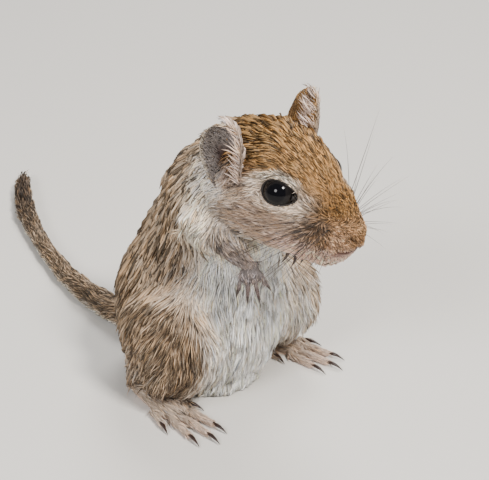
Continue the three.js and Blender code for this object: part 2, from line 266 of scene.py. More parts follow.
def makeCamera():
    data = bpy.data.cameras.new("camera")
    data.lens = shot["lens"]
    data.sensor_fit = "HORIZONTAL"
    data.sensor_width = shot["sensor"]
    data.clip_start = 0.01
    camera = makeObject("camera", data)
    camera.location = Vector(shot["place"]) * mm
    camera.rotation_euler = (math.radians(90 - shot["elevation"]), 0, math.radians(shot["azimuth"]))
    scene.camera = camera


makeCamera()
print("camera placed")


# Body skin: the flesh in one piece, smoothed where its parts meet, then taken in by the
# coat's depth
def ankleAndWrist():
    parts = []
    for side, turned in bothSides.items():
        legEnd = np.array(foreLegs[side][2:], float)
        wrist = np.array(pawFrames[side]["wrist"], float)
        way = unit(wrist - legEnd[0])
        parts.append(tubeOver([legEnd[0], legEnd[1], wrist, wrist + 1.6 * way], [2.2, 2.1, 2.0, 1.3]))
        parts.append(tubeOver([(0, turned * 17, 7), (-3, turned * 16.4, 5), (-4, turned * 16.8, 3.2)],
                              [4.2, 3.9, 3.0]))
    return parts


def makeBodySkin():
    names = [node for part in wear.values() for node in part["nodes"]]
    parts = [copyNodes(names, skinSet["swell"])] + ankleAndWrist()
    mesh = remeshed("body", *joined(parts), skinSet["voxel"])
    points = coordsOf(mesh)
    edges = edgesOf(mesh)
    trees, owners = [], []
    for number, part in enumerate(wear.values()):
        nodePoints, nodeFaces = copyNodes(part["nodes"], 0)
        trees.append((nodePoints, nodeFaces))
        owners += [number] * len(nodeFaces)
    allPoints, allFaces = joined(trees)
    tree = BVHTree.FromPolygons([Vector(p) for p in allPoints], allFaces)
    share = np.zeros((len(points), len(wear)))
    for i, p in enumerate(points):
        share[i, owners[tree.find_nearest(Vector(p))[2]]] = 1
    share = spread(share, edges, skinSet["spread"])
    return mesh, share


def ofRegions(share, key):
    return share @ np.array([part[key] for part in wear.values()], float)


def shapeBody(mesh, share):
    points, edges = coordsOf(mesh), edgesOf(mesh)
    rounds = ofRegions(share, "smooth")
    for limit in range(0, skinSet["mostRounds"], 2):
        points = spread(points, edges, 2, 0.5 * np.clip((rounds - limit) / 4, 0, 1))
    setCoords(mesh, points)
    depth = coatDepth(points, share)
    setCoords(mesh, points - normalsOf(mesh) * (depth + skinSet["swell"])[:, None])
    flat = coordsOf(mesh)
    flat[:, 2] = np.maximum(flat[:, 2], skinSet["soleGap"])
    setCoords(mesh, flat)


def coatDepth(points, share):
    depth = ofRegions(share, "depth")
    head = share[:, list(wear).index("head")]
    back = toHead(points)[:, 0]
    face = 0.3 + 0.5 * smoothStep(back, 2, 30)
    depth = depth * (1 - head) + face * head
    for side in bothSides:
        away = np.linalg.norm(points - np.array(pawFrames[side]["wrist"]), axis=1)
        depth *= 0.25 + 0.75 * smoothStep(away, 2, 10)
    for turned in bothSides.values():
        away = np.linalg.norm(points - np.array([-4, turned * 17, 2.5]), axis=1)
        depth *= 0.3 + 0.7 * smoothStep(away, 3, 9)
    floor = smoothStep(points[:, 2], 0.5, 5)
    return depth * (0.35 + 0.65 * floor)


# Halves the faces of the front of the head, for its lids, lips and nostrils
def refineFace(mesh):
    work = bmesh.new()
    work.from_mesh(mesh)
    work.verts.ensure_lookup_table()
    back = toHead(coordsOf(mesh))[:, 0]
    near = [edge for edge in work.edges
            if all(back[end.index] < skinSet["faceBack"] for end in edge.verts)
            and edge.verts[0].co.z > skinSet["faceLow"] * mm]
    bmesh.ops.subdivide_edges(work, edges=near, cuts=1, use_grid_fill=True)
    work.to_mesh(mesh)
    work.free()
    smoothShade(mesh)
    mesh.update()


# How near points of the head's frame are to a path there or to its mirror image: 1 on it
def nearPath(local, path, radius):
    path = np.asarray(path, float)
    folded = local * (1, 0, 1) + np.abs(local) * (0, 1, 0)
    nearest = np.full(len(local), 1e9)
    for a, b in zip(path[:-1], path[1:]):
        t = np.clip(((folded - a) @ (b - a)) / np.dot(b - a, b - a), 0, 1)
        nearest = np.minimum(nearest, np.linalg.norm(folded - a - t[:, None] * (b - a), axis=1))
    return np.exp(-(nearest / radius) ** 2)


# Pushes the skin out (or in, when push is negative) along a path in the head's frame
def press(points, normals, path, radius, push):
    return points + normals * (push * nearPath(toHead(points), path, radius))[:, None]


faceStrokes = {
    "whiskerPad": {"path": [(3.4, 2.6, -2.6), (6.2, 4.4, -3.6)], "radius": 2.6, "push": 0.55},
    "cheek": {"path": [(16, 9.6, -4.4), (24, 11.5, -5)], "radius": 4.5, "push": 0.6},
    "browRidge": {"path": [(11.5, 5.2, 7.0), (17, 6.9, 9.4), (21, 8.2, 9.4)], "radius": 1.8, "push": 0.45},
    "noseSide": {"path": [(2.2, 2.2, 0.6), (6, 3.4, 2.2)], "radius": 1.5, "push": -0.3},
    "philtrum": {"path": [(0.3, 0, -1.4), (0.9, 0, -3.4)], "radius": 0.45, "push": -0.5},
    "mouth": {"path": [(0.9, 0, -3.8), (1.3, 1.3, -3.7), (2.3, 3.0, -3.7), (4.2, 4.1, -4.9),
                       (6.0, 4.7, -6.3)], "radius": 0.55, "push": -1.2},
    "upperLip": {"path": [(1.2, 1.5, -2.9), (2.8, 3.1, -3.2), (4.8, 4.6, -4.2)],
                 "radius": 0.9, "push": 0.35},
    "chin": {"path": [(3.4, 0, -6.9), (6.0, 0.9, -8.2)], "radius": 1.9, "push": 0.3},
    "nostril": {"path": [(0.55, 0.95, -0.9), (1.25, 1.75, -0.35)], "radius": 0.42, "push": -0.75},
    "nostrilWing": {"path": [(0.7, 1.0, 0.1), (1.7, 2.0, 0.4)], "radius": 0.6, "push": 0.25},
}


def eyeFrame(turned):
    centre = fromHead(np.array([eyeSet["centre"]]) * (1, turned, 1))[0]
    axis = unit(headWays(np.array(eyeSet["axis"]) * (1, turned, 1)))
    forward = headWays((-1, 0, eyeSet["tilt"]))
    forward = unit(forward - axis * np.dot(forward, axis))
    above = np.cross(axis, forward) * turned
    above = above if above[2] > 0 else -above
    return centre, forward, above, axis


# Half length of the opening between the lids in the direction of each angle
def lidReach(angle):
    c, s = np.cos(angle), np.sin(angle)
    long = np.where(c > 0, eyeSet["front"], eyeSet["rear"])
    high = np.where(s > 0, eyeSet["top"], eyeSet["bottom"])
    high = high * (1 - 0.16 * np.maximum(c, 0) ** 2)
    return 1 / np.sqrt((c / long) ** 2 + (s / high) ** 2)


def lidHeight(distance):
    ball = eyeSet["radius"] * 0.93
    near = np.minimum(distance, ball)
    return np.sqrt(eyeSet["radius"] ** 2 - near ** 2) - 0.8 * np.maximum(distance - ball, 0)


# Points as an eye sees them: distance from its axis, height along it, the lids' reach that
# way, and the distance in lengths of that reach
def eyeView(points, turned):
    centre, forward, above, axis = eyeFrame(turned)
    local = points - centre
    x, y, w = local @ forward, local @ above, local @ axis
    reach = lidReach(np.arctan2(y, x))
    return np.hypot(x, y), w, reach, np.hypot(x, y) / reach


def eyeNearness(points):
    near = np.full(len(points), 9.0)
    for turned in bothSides.values():
        _, w, _, q = eyeView(points, turned)
        near = np.where(w > -3, np.minimum(near, q), near)
    return near


# Lays the skin against the lids' edge and closes it over the rest of the eyeball
def seatEyes(points):
    for turned in bothSides.values():
        distance, w, reach, q = eyeView(points, turned)
        near = (w > -4.6) & (q < eyeSet["reach"])
        rim = lidHeight(reach)
        inside = near & (q < 1)
        lifted = w + (rim - 0.05 - w) * (1 - smoothStep(q, 1.05, eyeSet["reach"]))
        shell = np.sqrt(np.maximum((eyeSet["radius"] + eyeSet["cover"]) ** 2 - distance ** 2, 0))
        lifted = np.where((q > 1.08) & (shell > 0), np.maximum(lifted, shell - 0.1), lifted)
        target = np.where(inside, np.minimum(lidHeight(distance) - 0.55, rim), lifted)
        points = points + np.where(near, target - w, 0)[:, None] * eyeFrame(turned)[3]
    return points


def makeLids():
    parts = []
    for turned in bothSides.values():
        centre, forward, above, axis = eyeFrame(turned)
        count, around = 72, 10
        angle = 2 * np.pi * np.arange(count) / count
        reach = lidReach(angle)
        middle = (centre + (reach * np.cos(angle))[:, None] * forward
                  + (reach * np.sin(angle))[:, None] * above + lidHeight(reach)[:, None] * axis)
        outward = unit(middle - centre - 0.35 * lidHeight(reach)[:, None] * axis)
        along = unit(np.roll(middle, -1, 0) - np.roll(middle, 1, 0))
        up = np.cross(along, outward)
        thick = np.full(count, eyeSet["rim"])
        turn = 2 * np.pi * np.arange(around) / around
        rings = middle[:, None] + thick[:, None, None] * (
            1.25 * np.cos(turn)[:, None] * outward[:, None] + 0.85 * np.sin(turn)[:, None] * up[:, None])
        faces = []
        for i in range(count):
            for k in range(around):
                a, b = i * around, (i + 1) % count * around
                quad = (a + k, b + k, b + (k + 1) % around, a + (k + 1) % around)
                faces.append(quad if turned > 0 else quad[::-1])
        parts.append((rings.reshape(-1, 3), faces))
        corner = np.linspace(0.78, 0.97, 4) * reach[0]
        path = centre + corner[:, None] * forward + (lidHeight(corner) - 0.12)[:, None] * axis
        parts.append(tubeOver(path, (0.55, 0.5, 0.4, 0.25)))
    return joined(parts)


bodyMesh, bodyShare = makeBodySkin()
print("body remeshed:", len(bodyMesh.vertices), "points")
shapeBody(bodyMesh, bodyShare)
# The regions' shares go with the points through the finer faces
for number, part in enumerate(wear):
    writeField(bodyMesh, "share_" + part, bodyShare[:, number])
refineFace(bodyMesh)
shares = [gathered(bodyMesh.attributes["share_" + part].data, "value", 1) for part in wear]
bodyShare = np.concatenate(shares, 1)
points = coordsOf(bodyMesh)
facePart = smoothStep(-toHead(points)[:, 0], -24, -20) * bodyShare[:, 0]
points = spread(points, edgesOf(bodyMesh), 3, 0.5 * facePart)
for stroke in faceStrokes.values():
    setCoords(bodyMesh, points)
    points = press(points, normalsOf(bodyMesh), stroke["path"], stroke["radius"], stroke["push"])
points = seatEyes(points)
aroundEyes = eyeNearness(points)
points = spread(points, edgesOf(bodyMesh), 2, 0.5 * ((aroundEyes > 1.25) & (aroundEyes < 2.4)))
setCoords(bodyMesh, points)
print("body shaped:", len(bodyMesh.vertices), "points,", len(bodyMesh.polygons), "faces")

# Comb strokes: the coat lies along them. The first list is in the head's frame and the
# second in the body's, both for the left side; mirrored strokes comb the right.
headStrokes = [
    [(1.5, 0, 3), (8, 0, 7.2), (14, 0, 10.4), (21, 0, 12.6), (29, 0, 12.6), (36, 0, 10), (41, 0, 6)],
    [(3, 2.4, 2.4), (7, 4.2, 4.4), (11, 5.4, 6.6), (14, 6.6, 9), (19, 8.4, 9.8), (24, 9.2, 9.2)],
    [(20, 4, 12.3), (24, 7.5, 10.6), (26.5, 10, 7.5), (27.5, 11.6, 3)],
    [(8, 6, 1.4), (12, 8.2, -0.6), (17, 10.2, -1.6), (24, 11.8, -3), (32, 11.5, -4.4)],
    [(11, 7.2, 1.2), (15, 9.4, 0.2), (19, 10.8, 0.4), (24, 12, -0.4)],
    [(21, 10.5, 4.8), (24, 11.6, 2), (28, 12.2, -1.4)],
    [(5.4, 5, 1.0), (3.2, 3.8, 0.2), (1.2, 2.2, -1.2)],
    [(5.2, 5, 0.2), (3.4, 4, -1.6), (2.4, 3.0, -3.2)],
    [(6.2, 5.4, -0.8), (6.7, 5.3, -3.6), (8.2, 5.0, -6.5)],
    [(8, 4.6, -7.5), (14, 7.5, -7.4), (22, 9.6, -8.2), (32, 9.6, -8.4)],
    [(2.4, 0, -5.4), (6, 0, -9), (14, 0, -10.2), (28, 0, -10.8)],
    [(31, 10, 8), (34, 11, 4), (37, 10.5, -1)],
    [(30, 5, 11.5), (36, 6, 8), (40, 6, 3)],
]
bodyStrokes = [
    [(12, 12, 55), (6, 13.5, 46), (3, 15, 36), (2, 18, 26), (0, 20, 18)],
    [(24, 0, 44), (21.5, 0, 36), (20.5, 0, 28), (20, 0, 20), (17, 0, 9)],
    [(16, 12, 48), (13, 14.5, 42), (10.5, 15, 35)],
    [(6, 0, 62), (-4, 0, 54), (-10, 0, 43), (-15, 0, 30), (-19, 0, 18), (-18, 0, 8)],
    [(2, 8, 60), (-5, 9, 47), (-9, 11, 34), (-12, 14, 22), (-14, 12, 9)],
    [(8, 24, 26), (2, 24.5, 18), (-5, 23, 10)],
    [(17, 17, 22), (18.5, 18, 14), (14, 19, 7)],
    [(-8, 18, 24), (-13, 15, 14), (-13, 13, 6)],
]


def guidesOf(strokes, place=lambda points: points, mirror=True):
    middles, ways = [], []
    for stroke in strokes:
        for turned in ((1, -1) if mirror else (1,)):
            path = place(np.array(stroke, float) * (1, turned, 1))
            middles.append((path[1:] + path[:-1]) / 2)
            ways.append(unit(path[1:] - path[:-1]))
    return np.concatenate(middles), np.concatenate(ways)


def lieOf(points, guides, soft):
    middles, ways = guides
    lie = np.empty_like(points)
    for first in range(0, len(points), 20000):
        block = points[first:first + 20000]
        apart = ((block[:, None] - middles[None]) ** 2).sum(2)
        lie[first:first + 20000] = (1 / (apart + soft ** 2) ** 2) @ ways
    return unit(lie)


def layAlong(ways, normals):
    flat = ways - normals * (ways * normals).sum(1, keepdims=True)
    return unit(flat)


def blob(local, centre, radii):
    off = (local * (1, 0, 1) + np.abs(local) * (0, 1, 0) - centre) / np.asarray(radii, float)
    return np.exp(-(off ** 2).sum(1))


def allOver(points, tone):
    return np.tile(np.array(tones[tone]), (len(points), 1))


# Fields of one length from numbers or arrays
def fieldsOf(count, lie, colour, **values):
    fields = {key: np.broadcast_to(np.asarray(value, float), count) for key, value in values.items()}
    return {"lie": lie, "colour": colour, **fields}


# Lays tones over colours in turn, each through its mask
def paint(colours, *layers):
    for mask, tone in layers:
        colours = colours + np.asarray(mask)[:, None] * (np.array(tones[tone]) - colours)
    return colours


# From one set of values to another by a share for each point
def blend(under, over, share):
    return under * (1 - share)[:, None] + over * share[:, None]


tones = {
    "golden": (0.34, 0.188, 0.071), "crown": (0.22, 0.125, 0.048), "bridge": (0.25, 0.13, 0.042),
    "back": (0.37, 0.265, 0.175), "flank": (0.36, 0.27, 0.195),
    "greyBeige": (0.36, 0.26, 0.195), "cream": (0.76, 0.66, 0.54), "white": (0.88, 0.83, 0.77),
    "muzzle": (0.44, 0.26, 0.13), "muzzleSide": (0.62, 0.40, 0.26),
    "pinkGrey": (0.80, 0.56, 0.46), "pad": (0.05, 0.03, 0.022),
    "forearm": (0.27, 0.215, 0.19), "paw": (0.30, 0.25, 0.24), "foot": (0.46, 0.36, 0.28),
    # The mouth tone is the lips' dark red with painted shade, for the mouth's cleft and the nostrils
    "digit": (0.10, 0.062, 0.056), "mouth": (0.06, 0.008, 0.005), "lid": (0.010, 0.007, 0.006),
    # The ear's near-black tone is painted shade in the hollow of its opening
    "earInside": (0.25, 0.215, 0.20), "earHollowShade": (0.03, 0.010, 0.007), "earHair": (0.66, 0.50, 0.41),
    "tuft": (0.06, 0.04, 0.03), "brow": (0.66, 0.53, 0.42),
}


# Where a point lies between the back (-1) and the belly (1) of the trunk
def bellyward(points):
    middle, height, deep, _ = np.array(sorted(spineStations, key=lambda station: station[1]), float).T
    level = points[:, 2] - 0.45 * (points[:, 0] - np.interp(points[:, 2], height, middle))
    return (points[:, 0] - np.interp(level, height, middle)) / np.interp(level, height, deep)


mouthLine = [(1.4, 0, -4.0), (1.85, 1.0, -4.0), (2.6, 2.6, -3.9), (3.0, 3.4, -4.1)]
nostrilPlace = (0.75, 1.2, -0.6)
earHollow = {"centre": (28.7, 11.0, 6.2), "radii": (3.6, 2.9, 3.4)}  # the head inside an ear's opening
# Soft patches of colour on the head, one of them painted shade inside the ear's opening: tone, strength,
# centre and radii in the head's frame
headPatches = [
    ("brow", 0.7, (24, 12, 1.5), (3, 4, 2.4)),
    ("white", 0.8, (33.8, 11.2, 3.0), (4.4, 3.6, 4.2)),
    # Painted shade on the head inside the ear's opening
    ("earHollowShade", 0.85, earHollow["centre"], earHollow["radii"]),
    ("earHair", 0.75, (26.5, 11.5, 6.2), (2.1, 2.3, 3.4)),
    ("brow", 1.0, (10.2, 6.6, 3.4), (2.8, 3, 2.2)),
    ("muzzleSide", 0.9, (3.0, 4.4, -1.2), (2.6, 2.2, 2.4)),
]


def bodyColours(points, share):
    local = toHead(points)
    back, out, up = local[:, 0], np.abs(local[:, 1]), local[:, 2]
    under = bellyward(points)
    region = dict(zip(wear, share.T))
    shoulder = smoothStep(points[:, 2], 34, 44) * smoothStep(points[:, 0], 4, 12)
    trunk = paint(allOver(points, "back"), (smoothStep(under, -0.35, 0.2), "flank"),
                  (smoothStep(under, 0.15, 0.6), "white"), (0.9 * shoulder, "cream"))
    top = smoothStep(up - 0.1 * out, np.interp(back, (0, 8, 20, 34), (-0.5, 2.2, 4.2, 2.5)),
                     np.interp(back, (0, 8, 20, 34), (1.5, 5.4, 9.0, 7.5)))
    eyeNear = eyeNearness(points)
    ring = smoothStep(eyeNear, 1.0, 1.12) * (1 - smoothStep(eyeNear, 1.35, 1.9))
    head = paint(
        allOver(points, "greyBeige"), (top, "golden"),
        (smoothStep(back, 16, 24) * smoothStep(up, 8, 12) * 0.8, "crown"),
        ((1 - smoothStep(back, 5, 10)) * smoothStep(up, -4.5, -2), "muzzle"),
        ((1 - smoothStep(back, 6, 13)) * smoothStep(back, 1, 2.5) * smoothStep(up, 1.6, 3.4), "bridge"),
        (smoothStep(-up, 1.6, 4.2) * (1 - smoothStep(back, 10, 16)), "pinkGrey"),
        (smoothStep(-up, 5.5, 8.5) * smoothStep(back, 10, 18), "cream"),
        (0.95 * blob(local, (30, 12, 0.5), (3.6, 5, 5)), "white"),
        (smoothStep(back, 32, 36) * smoothStep(up, 0, 5), "back"),
        *[(strength * blob(local, centre, radii), tone) for tone, strength, centre, radii in headPatches],
        (0.85 * ring, "brow"), (0.6 * ring * smoothStep(up, 5, 7.5), "cream"),
        (0.9 * blob(local, (6.4, 5.4, 1.0), (1.2, 3, 0.9)), "pad"),
        (0.3 * blob(local, (8.5, 6, 0.4), (2.6, 4, 1.8)), "pad"),
        # Dark red lips with painted shade in the mouth's cleft and in the nostrils
        (nearPath(local, mouthLine, 1.0), "mouth"),
        (0.9 * blob(local, nostrilPlace, (0.7, 0.6, 0.5)), "mouth"),
        (1 - smoothStep(eyeNear, 0.98, 1.04), "lid"))
    colours = blend(trunk, head, region["head"])
    colours = paint(colours, (region["foreLeg"] * smoothStep(points[:, 0], 14, 19), "forearm"))
    leg = paint(allOver(points, "back"),
                (1 - smoothStep(points[:, 2] + 0.2 * np.abs(points[:, 1]), 10, 24), "flank"),
                (smoothStep(points[:, 0], 11, 19) * smoothStep(-np.abs(points[:, 1]), -19, -14), "white"))
    colours = blend(colours, leg, region["hindLeg"])
    brush = smoothStep(-points[:, 0], 66, 96)
    tail = paint(allOver(points, "back"), (1 - smoothStep(points[:, 2], 1.4, 3.2), "cream"),
                 (0.85 * brush * smoothStep(points[:, 2], 1.6, 3.0), "tuft"))
    return blend(colours, tail, region["tail"])


# How strongly the hairs are ticked with dark tips: most on the back and crown
def tickingOf(points, share):
    local = toHead(points)
    region = dict(zip(wear, share.T))
    trunk = 1 - smoothStep(bellyward(points), -0.1, 0.5)
    head = np.maximum(smoothStep(local[:, 2], 1.5, 8) * smoothStep(local[:, 0], 3, 14),
                      0.75 * smoothStep(local[:, 2], -5, -2) * (1 - smoothStep(local[:, 0], 8, 13)))
    haunch = 0.85 * smoothStep(np.abs(points[:, 1]), 15, 19)
    ticked = trunk * (1 - region["head"] - region["foreLeg"] - region["hindLeg"]) + head * region["head"]
    return np.clip(ticked + 0.55 * region["foreLeg"] + haunch * region["hindLeg"], 0.08, 1)


def bodyFields(mesh, share):
    points, normals = coordsOf(mesh), normalsOf(mesh)
    local = toHead(points)
    back = local[:, 0]
    head = share[:, 0]
    headLie = lieOf(points, guidesOf(headStrokes, fromHead), 1.4)
    spineWays = [[(x, 0, z) for x, z, _, _ in spineStations]]
    limbs = guidesOf([foreLegs["left"], foreLegs["right"], tailPoints] + spineWays, mirror=False)
    bodyGuides = [np.concatenate(pair) for pair in zip(guidesOf(bodyStrokes), limbs)]
    lie = layAlong(blend(lieOf(points, bodyGuides, 3.0), headLie, smoothStep(head, 0.15, 0.85)), normals)
    lie = layAlong(spread(lie, edgesOf(mesh), 3), normals)
    eyeNear = eyeNearness(points)
    onHead = np.interp(back, (0, 3, 8, 16, 28, 40), (0.75, 1.2, 2.0, 2.5, 3.8, 4.2))
    length = ofRegions(share, "length") * (1 - head) + head * onHead
    onHead = np.interp(back, (0, 6, 16, 30), (0.13, 0.165, 0.20, 0.24))
    width = ofRegions(share, "width") * (1 - head) + head * onHead
    # Short hair round the paws and the roots of the ears, so that they show
    for side in bothSides:
        palmMiddle = placePaw([(0, 0, -3.0)], side)[0]
        away = np.linalg.norm(points - palmMiddle, axis=1)
        length *= 0.35 + 0.65 * smoothStep(away, 3, 12)
        width *= 0.65 + 0.35 * smoothStep(away, 3, 12)
    hollow = blob(local, **earHollow)
    length *= 1 - 0.6 * np.maximum(blob(local, earSet["root"], (4.5, 4, 4)), hollow) * head
    lidNear = 1 - smoothStep(eyeNear, 1.0, 1.9)
    length *= 1 - 0.5 * lidNear
    low = smoothStep(points[:, 2], 0.3, 3.5)
    length *= 0.5 + 0.5 * low
    brush = smoothStep(-points[:, 0], 70, 98)
    length *= 1 + 0.5 * brush
    lift = ofRegions(share, "lift") * (0.55 + 0.45 * low) * (1 + 0.5 * brush)
    lift *= 1 - 0.45 * lidNear * head
    bare = (eyeNear < 1.0) | ((points[:, 2] < 0.32) & (normals[:, 2] < -0.5))
    mouthNear = np.maximum(nearPath(local, mouthLine, 1.1), blob(local, nostrilPlace, (0.7, 0.7, 0.55)))
    length *= 1 - 0.55 * nearPath(local, mouthLine, 2.2)
    crown = head * smoothStep(local[:, 2], 7, 10) * smoothStep(back, 18, 26)
    lift *= 1 + 0.6 * crown
    ruffle = head * (1 - smoothStep(back, 5, 10))
    lift *= 1 + 0.9 * ruffle
    return {"lie": lie, "length": length, "width": width, "lift": lift, "ruffle": ruffle,
            "thick": np.where(bare, 0, np.clip(1 - 1.15 * mouthNear - 0.8 * hollow, 0, 1)),
            "colour": bodyColours(points, share), "ticked": tickingOf(points, share)}


# Ears: cupped leaves, each wall a grid from root to tip and from rear to front edge
def makeEar(turned):
    rows, columns = 30, 24
    level = np.sin(np.linspace(0, np.pi / 2, rows))
    half = np.interp(level, (0, 0.25, 0.55, 0.8, 0.93, 1), (0.5, 0.82, 1.0, 0.86, 0.58, 0.1))
    half = half * earSet["halfWidth"]
    half = np.convolve(np.pad(half, 1, mode="edge"), (0.25, 0.5, 0.25), "valid")
    half[-1] *= 0.5
    rear = np.radians(np.interp(level, (0, 0.4, 1), (78, 62, 38)))
    front = np.radians(np.interp(level, (0, 0.3, 0.65, 1), (95, 80, 62, 38)))
    reach = np.where(front < np.pi / 2, np.sin(front), 1)
    radius = 2 * half / (np.sin(rear) + reach)
    across = np.linspace(-1, 1, columns)
    rings, wide, inner = [], [], []
    for j in range(rows):
        angle = np.where(across < 0, across * rear[j], across * front[j])
        wall = earSet["thickness"] * (1 - 0.35 * level[j]) / 2 * np.sqrt(np.maximum(1 - across ** 4, 0))
        wall = wall * min(1.0, math.sqrt(1 - level[j] ** 6) + 0.02)
        middle = radius[j] * (reach[j] - np.sin(rear[j])) / 2
        middle -= earSet["tipForward"] * (max(level[j] - 0.45, 0) / 0.55) ** 2
        middle -= earSet["lowForward"] * (1 - min(level[j] / 0.6, 1)) ** 2
        height = level[j] * (earSet["length"] + earSet["sunk"]) - earSet["sunk"]
        ring = []
        for sign, steps in ((-1, range(columns)), (1, range(columns - 2, 0, -1))):
            for k in steps:
                r = radius[j] + sign * wall[k]
                ring.append((r * math.sin(angle[k]) - middle,
                             radius[j] * math.cos(rear[j]) * 0.9 - r * math.cos(angle[k]), height))
                wide.append(across[k])
                inner.append(1.0 if sign < 0 else 0.0)
        rings.append(ring)
    points = np.array(rings).reshape(-1, 3)
    count = 2 * columns - 2
    faces = []
    for low in range(0, (rows - 1) * count, count):
        for k in range(count):
            after = (k + 1) % count
            faces.append((low + k, low + after, low + count + after, low + count + k))
    ends = [points[:count].mean(0), points[-count:].mean(0)]
    low = len(points)
    points = np.concatenate([points, ends])
    faces += [(low, (k + 1) % count, k) for k in range(count)]
    last = (rows - 1) * count
    faces += [(low + 1, last + k, last + (k + 1) % count) for k in range(count)]
    lean = earSet["lean"]
    turn = (Matrix.Rotation(-lean["back"], 3, "Y") @ Matrix.Rotation(-lean["out"], 3, "X")
            @ Matrix.Rotation(-lean["turn"], 3, "Z"))
    back, out, up = earSet["root"]
    points = points @ np.array(turn).T + np.array((-back, out, up))
    points = fromHead(points * (-1, turned, 1))
    if turned < 0:
        faces = [face[::-1] for face in faces]
    tall = np.repeat(level, count)
    facts = {"tall": np.append(tall, (0, 1)), "wide": np.append(wide, (0, 0)),
             "inner": np.append(inner, (0, 0))}
    ways = np.gradient(np.array(rings), axis=0).reshape(-1, 3)
    cross = np.gradient(np.array(rings), axis=1).reshape(-1, 3)
    cross[np.array(inner) == 0] *= -1

    def placed(ways):
        ways = unit(ways) @ np.array(turn).T
        return headWays(np.append(ways, [ways[-1], ways[-1]], 0) * (-1, turned, 1))
    facts["up"], facts["front"] = placed(ways), placed(cross)
    return points, faces, facts


def earFields(points, normals, facts):
    tall, wide, inner = facts["tall"], facts["wide"], facts["inner"]
    seen = smoothStep(tall, 0.12, 0.3)
    rim = smoothStep(np.maximum(np.abs(wide), tall ** 3), 0.84, 0.99)
    lowFront = 1 - smoothStep(tall, 0.35, 0.6)
    fringe = smoothStep(wide, 0.35, 0.75) * np.clip(inner + 0.6 * rim + lowFront, 0, 1)
    lie = unit(facts["up"] - 0.25 * facts["front"])
    lie = lie - (fringe * 2.2)[:, None] * unit(facts["front"] - 0.35 * facts["up"])
    lie = lie - (0.9 * inner * (1 - fringe))[:, None] * facts["front"]
    # Painted shade low in the ear's cup, where it is deepest
    deep = inner * (1 - smoothStep(tall, 0.45, 0.8)) * (1 - smoothStep(np.abs(wide - 0.2), 0.4, 0.8))
    colours = paint(allOver(points, "golden"), (inner, "earInside"), (deep, "earHollowShade"),
                    (0.95 * fringe, "earHair"), (rim * (1 - fringe) * seen, "cream"))
    length = 1.3 + 1.8 * fringe - 0.3 * inner * (1 - fringe) - 0.5 * rim * (1 - fringe)
    thick = np.clip(1.0 - 0.6 * inner * (1 - fringe) + 0.6 * rim + 0.5 * fringe - 0.35 * deep, 0.05, 1.8)
    return fieldsOf(len(points), layAlong(lie, normals), colours, length=length, width=0.14 + 0.01 * fringe,
                    lift=0.8 + 0.9 * fringe, thick=thick * smoothStep(tall, 0.05, 0.16),
                    ruffle=0.1 * fringe, ticked=0.3 + 0.3 * inner * (1 - fringe))


def pawMatrix(side):
    paw = pawFrames[side]
    return np.array(Matrix.Rotation(paw["heading"], 3, "Z") @ Matrix.Rotation(paw["lift"], 3, "Y")
                    @ Matrix.Rotation(paw["roll"], 3, "X"))


def placePaw(points, side):
    mirrored = np.asarray(points, float) * (1, bothSides[side], 1)
    return mirrored @ pawMatrix(side).T + pawFrames[side]["wrist"]


# Digits of the forepaw: across, down, splay, length, radius and arch, as in the solids
foreDigits = [(-2.0, 1.75, -0.26, 2.75, 0.5, 0.42), (-0.68, 2.35, -0.05, 3.45, 0.54, 0.6),
              (0.7, 2.35, 0.18, 3.45, 0.54, 0.55), (2.0, 1.7, 0.55, 2.2, 0.5, 0.36)]


def digitPath(digit, fractions, heights):
    across, down, splay, length, _, arch = digit
    way = np.array((0, -math.sin(splay), -math.cos(splay)))
    path = np.array((0, -across, -down)) + np.outer(np.array(fractions) * length, way)
    path[:, 0] = arch - 0.4 + 0.4 * np.array(heights)
    return path


def makePaw(side):
    parts = [tubeOver([(0, 0, 1.2), (0.1, 0, 0), (0.2, 0, -1.1), (0.15, 0, -2.1), (0.05, 0, -2.9)],
                      [1.5, 1.5, 1.8, 2.0, 1.5], 16)]
    flat = parts[0][0] * (0.62, 1.1, 1)
    parts[0] = (flat, parts[0][1])
    for digit in foreDigits:
        size = digit[4] / 0.54
        path = digitPath(digit, (-0.5, -0.2, 0.05, 0.32, 0.55, 0.8, 1.0),
                         (0.2, 0.9, 1.2, 0.75, 1.1, 0.6, 0.0))
        parts.append(tubeOver(path, size * np.array((0.5, 0.56, 0.55, 0.43, 0.5, 0.4, 0.33))))
        pad = digitPath(digit, (0.75, 0.9, 1.02), (-0.35, -0.5, -0.35))
        parts.append(tubeOver(pad, size * np.array((0.3, 0.36, 0.3)), 10))
    points, faces = joined(parts)
    mesh = remeshed("paw", points, faces, skinSet["fineVoxel"])
    setCoords(mesh, spread(coordsOf(mesh), edgesOf(mesh), 3))
    drawn = coordsOf(mesh)
    faces = facesOf(mesh)
    if side == "right":
        faces = [face[::-1] for face in faces]
    return placePaw(drawn, side), faces, drawn


def pawFields(points, normals, drawn, side):
    toTips = pawMatrix(side) @ np.array((0.12, 0, -1.0))
    reach = smoothStep(-drawn[:, 2], 1.7, 4.6)
    palmSide = smoothStep(-drawn[:, 0], 0.1, 0.9)
    colours = paint(allOver(points, "paw"), (0.75 * palmSide, "pinkGrey"), (0.8 * reach, "digit"))
    return fieldsOf(len(points), layAlong(toTips, normals), colours, length=1.5 - 0.9 * reach,
                    width=0.12 - 0.03 * reach, lift=0.45, ruffle=0.35 * (1 - reach),
                    thick=(1 - 0.93 * palmSide) * (1 - 0.55 * reach), ticked=0.9)


def makeFoot(side):
    points, faces = copyNodes(["hind_foot_" + side], 0)
    mesh = remeshed("foot", points, faces, skinSet["footVoxel"])
    moved = spread(coordsOf(mesh), edgesOf(mesh), 4)
    setCoords(mesh, moved)
    moved = moved - 0.22 * normalsOf(mesh) * smoothStep(moved[:, 2], 0.2, 1.2)[:, None]
    moved[:, 2] = np.maximum(moved[:, 2], 0.02)
    return moved, facesOf(mesh)


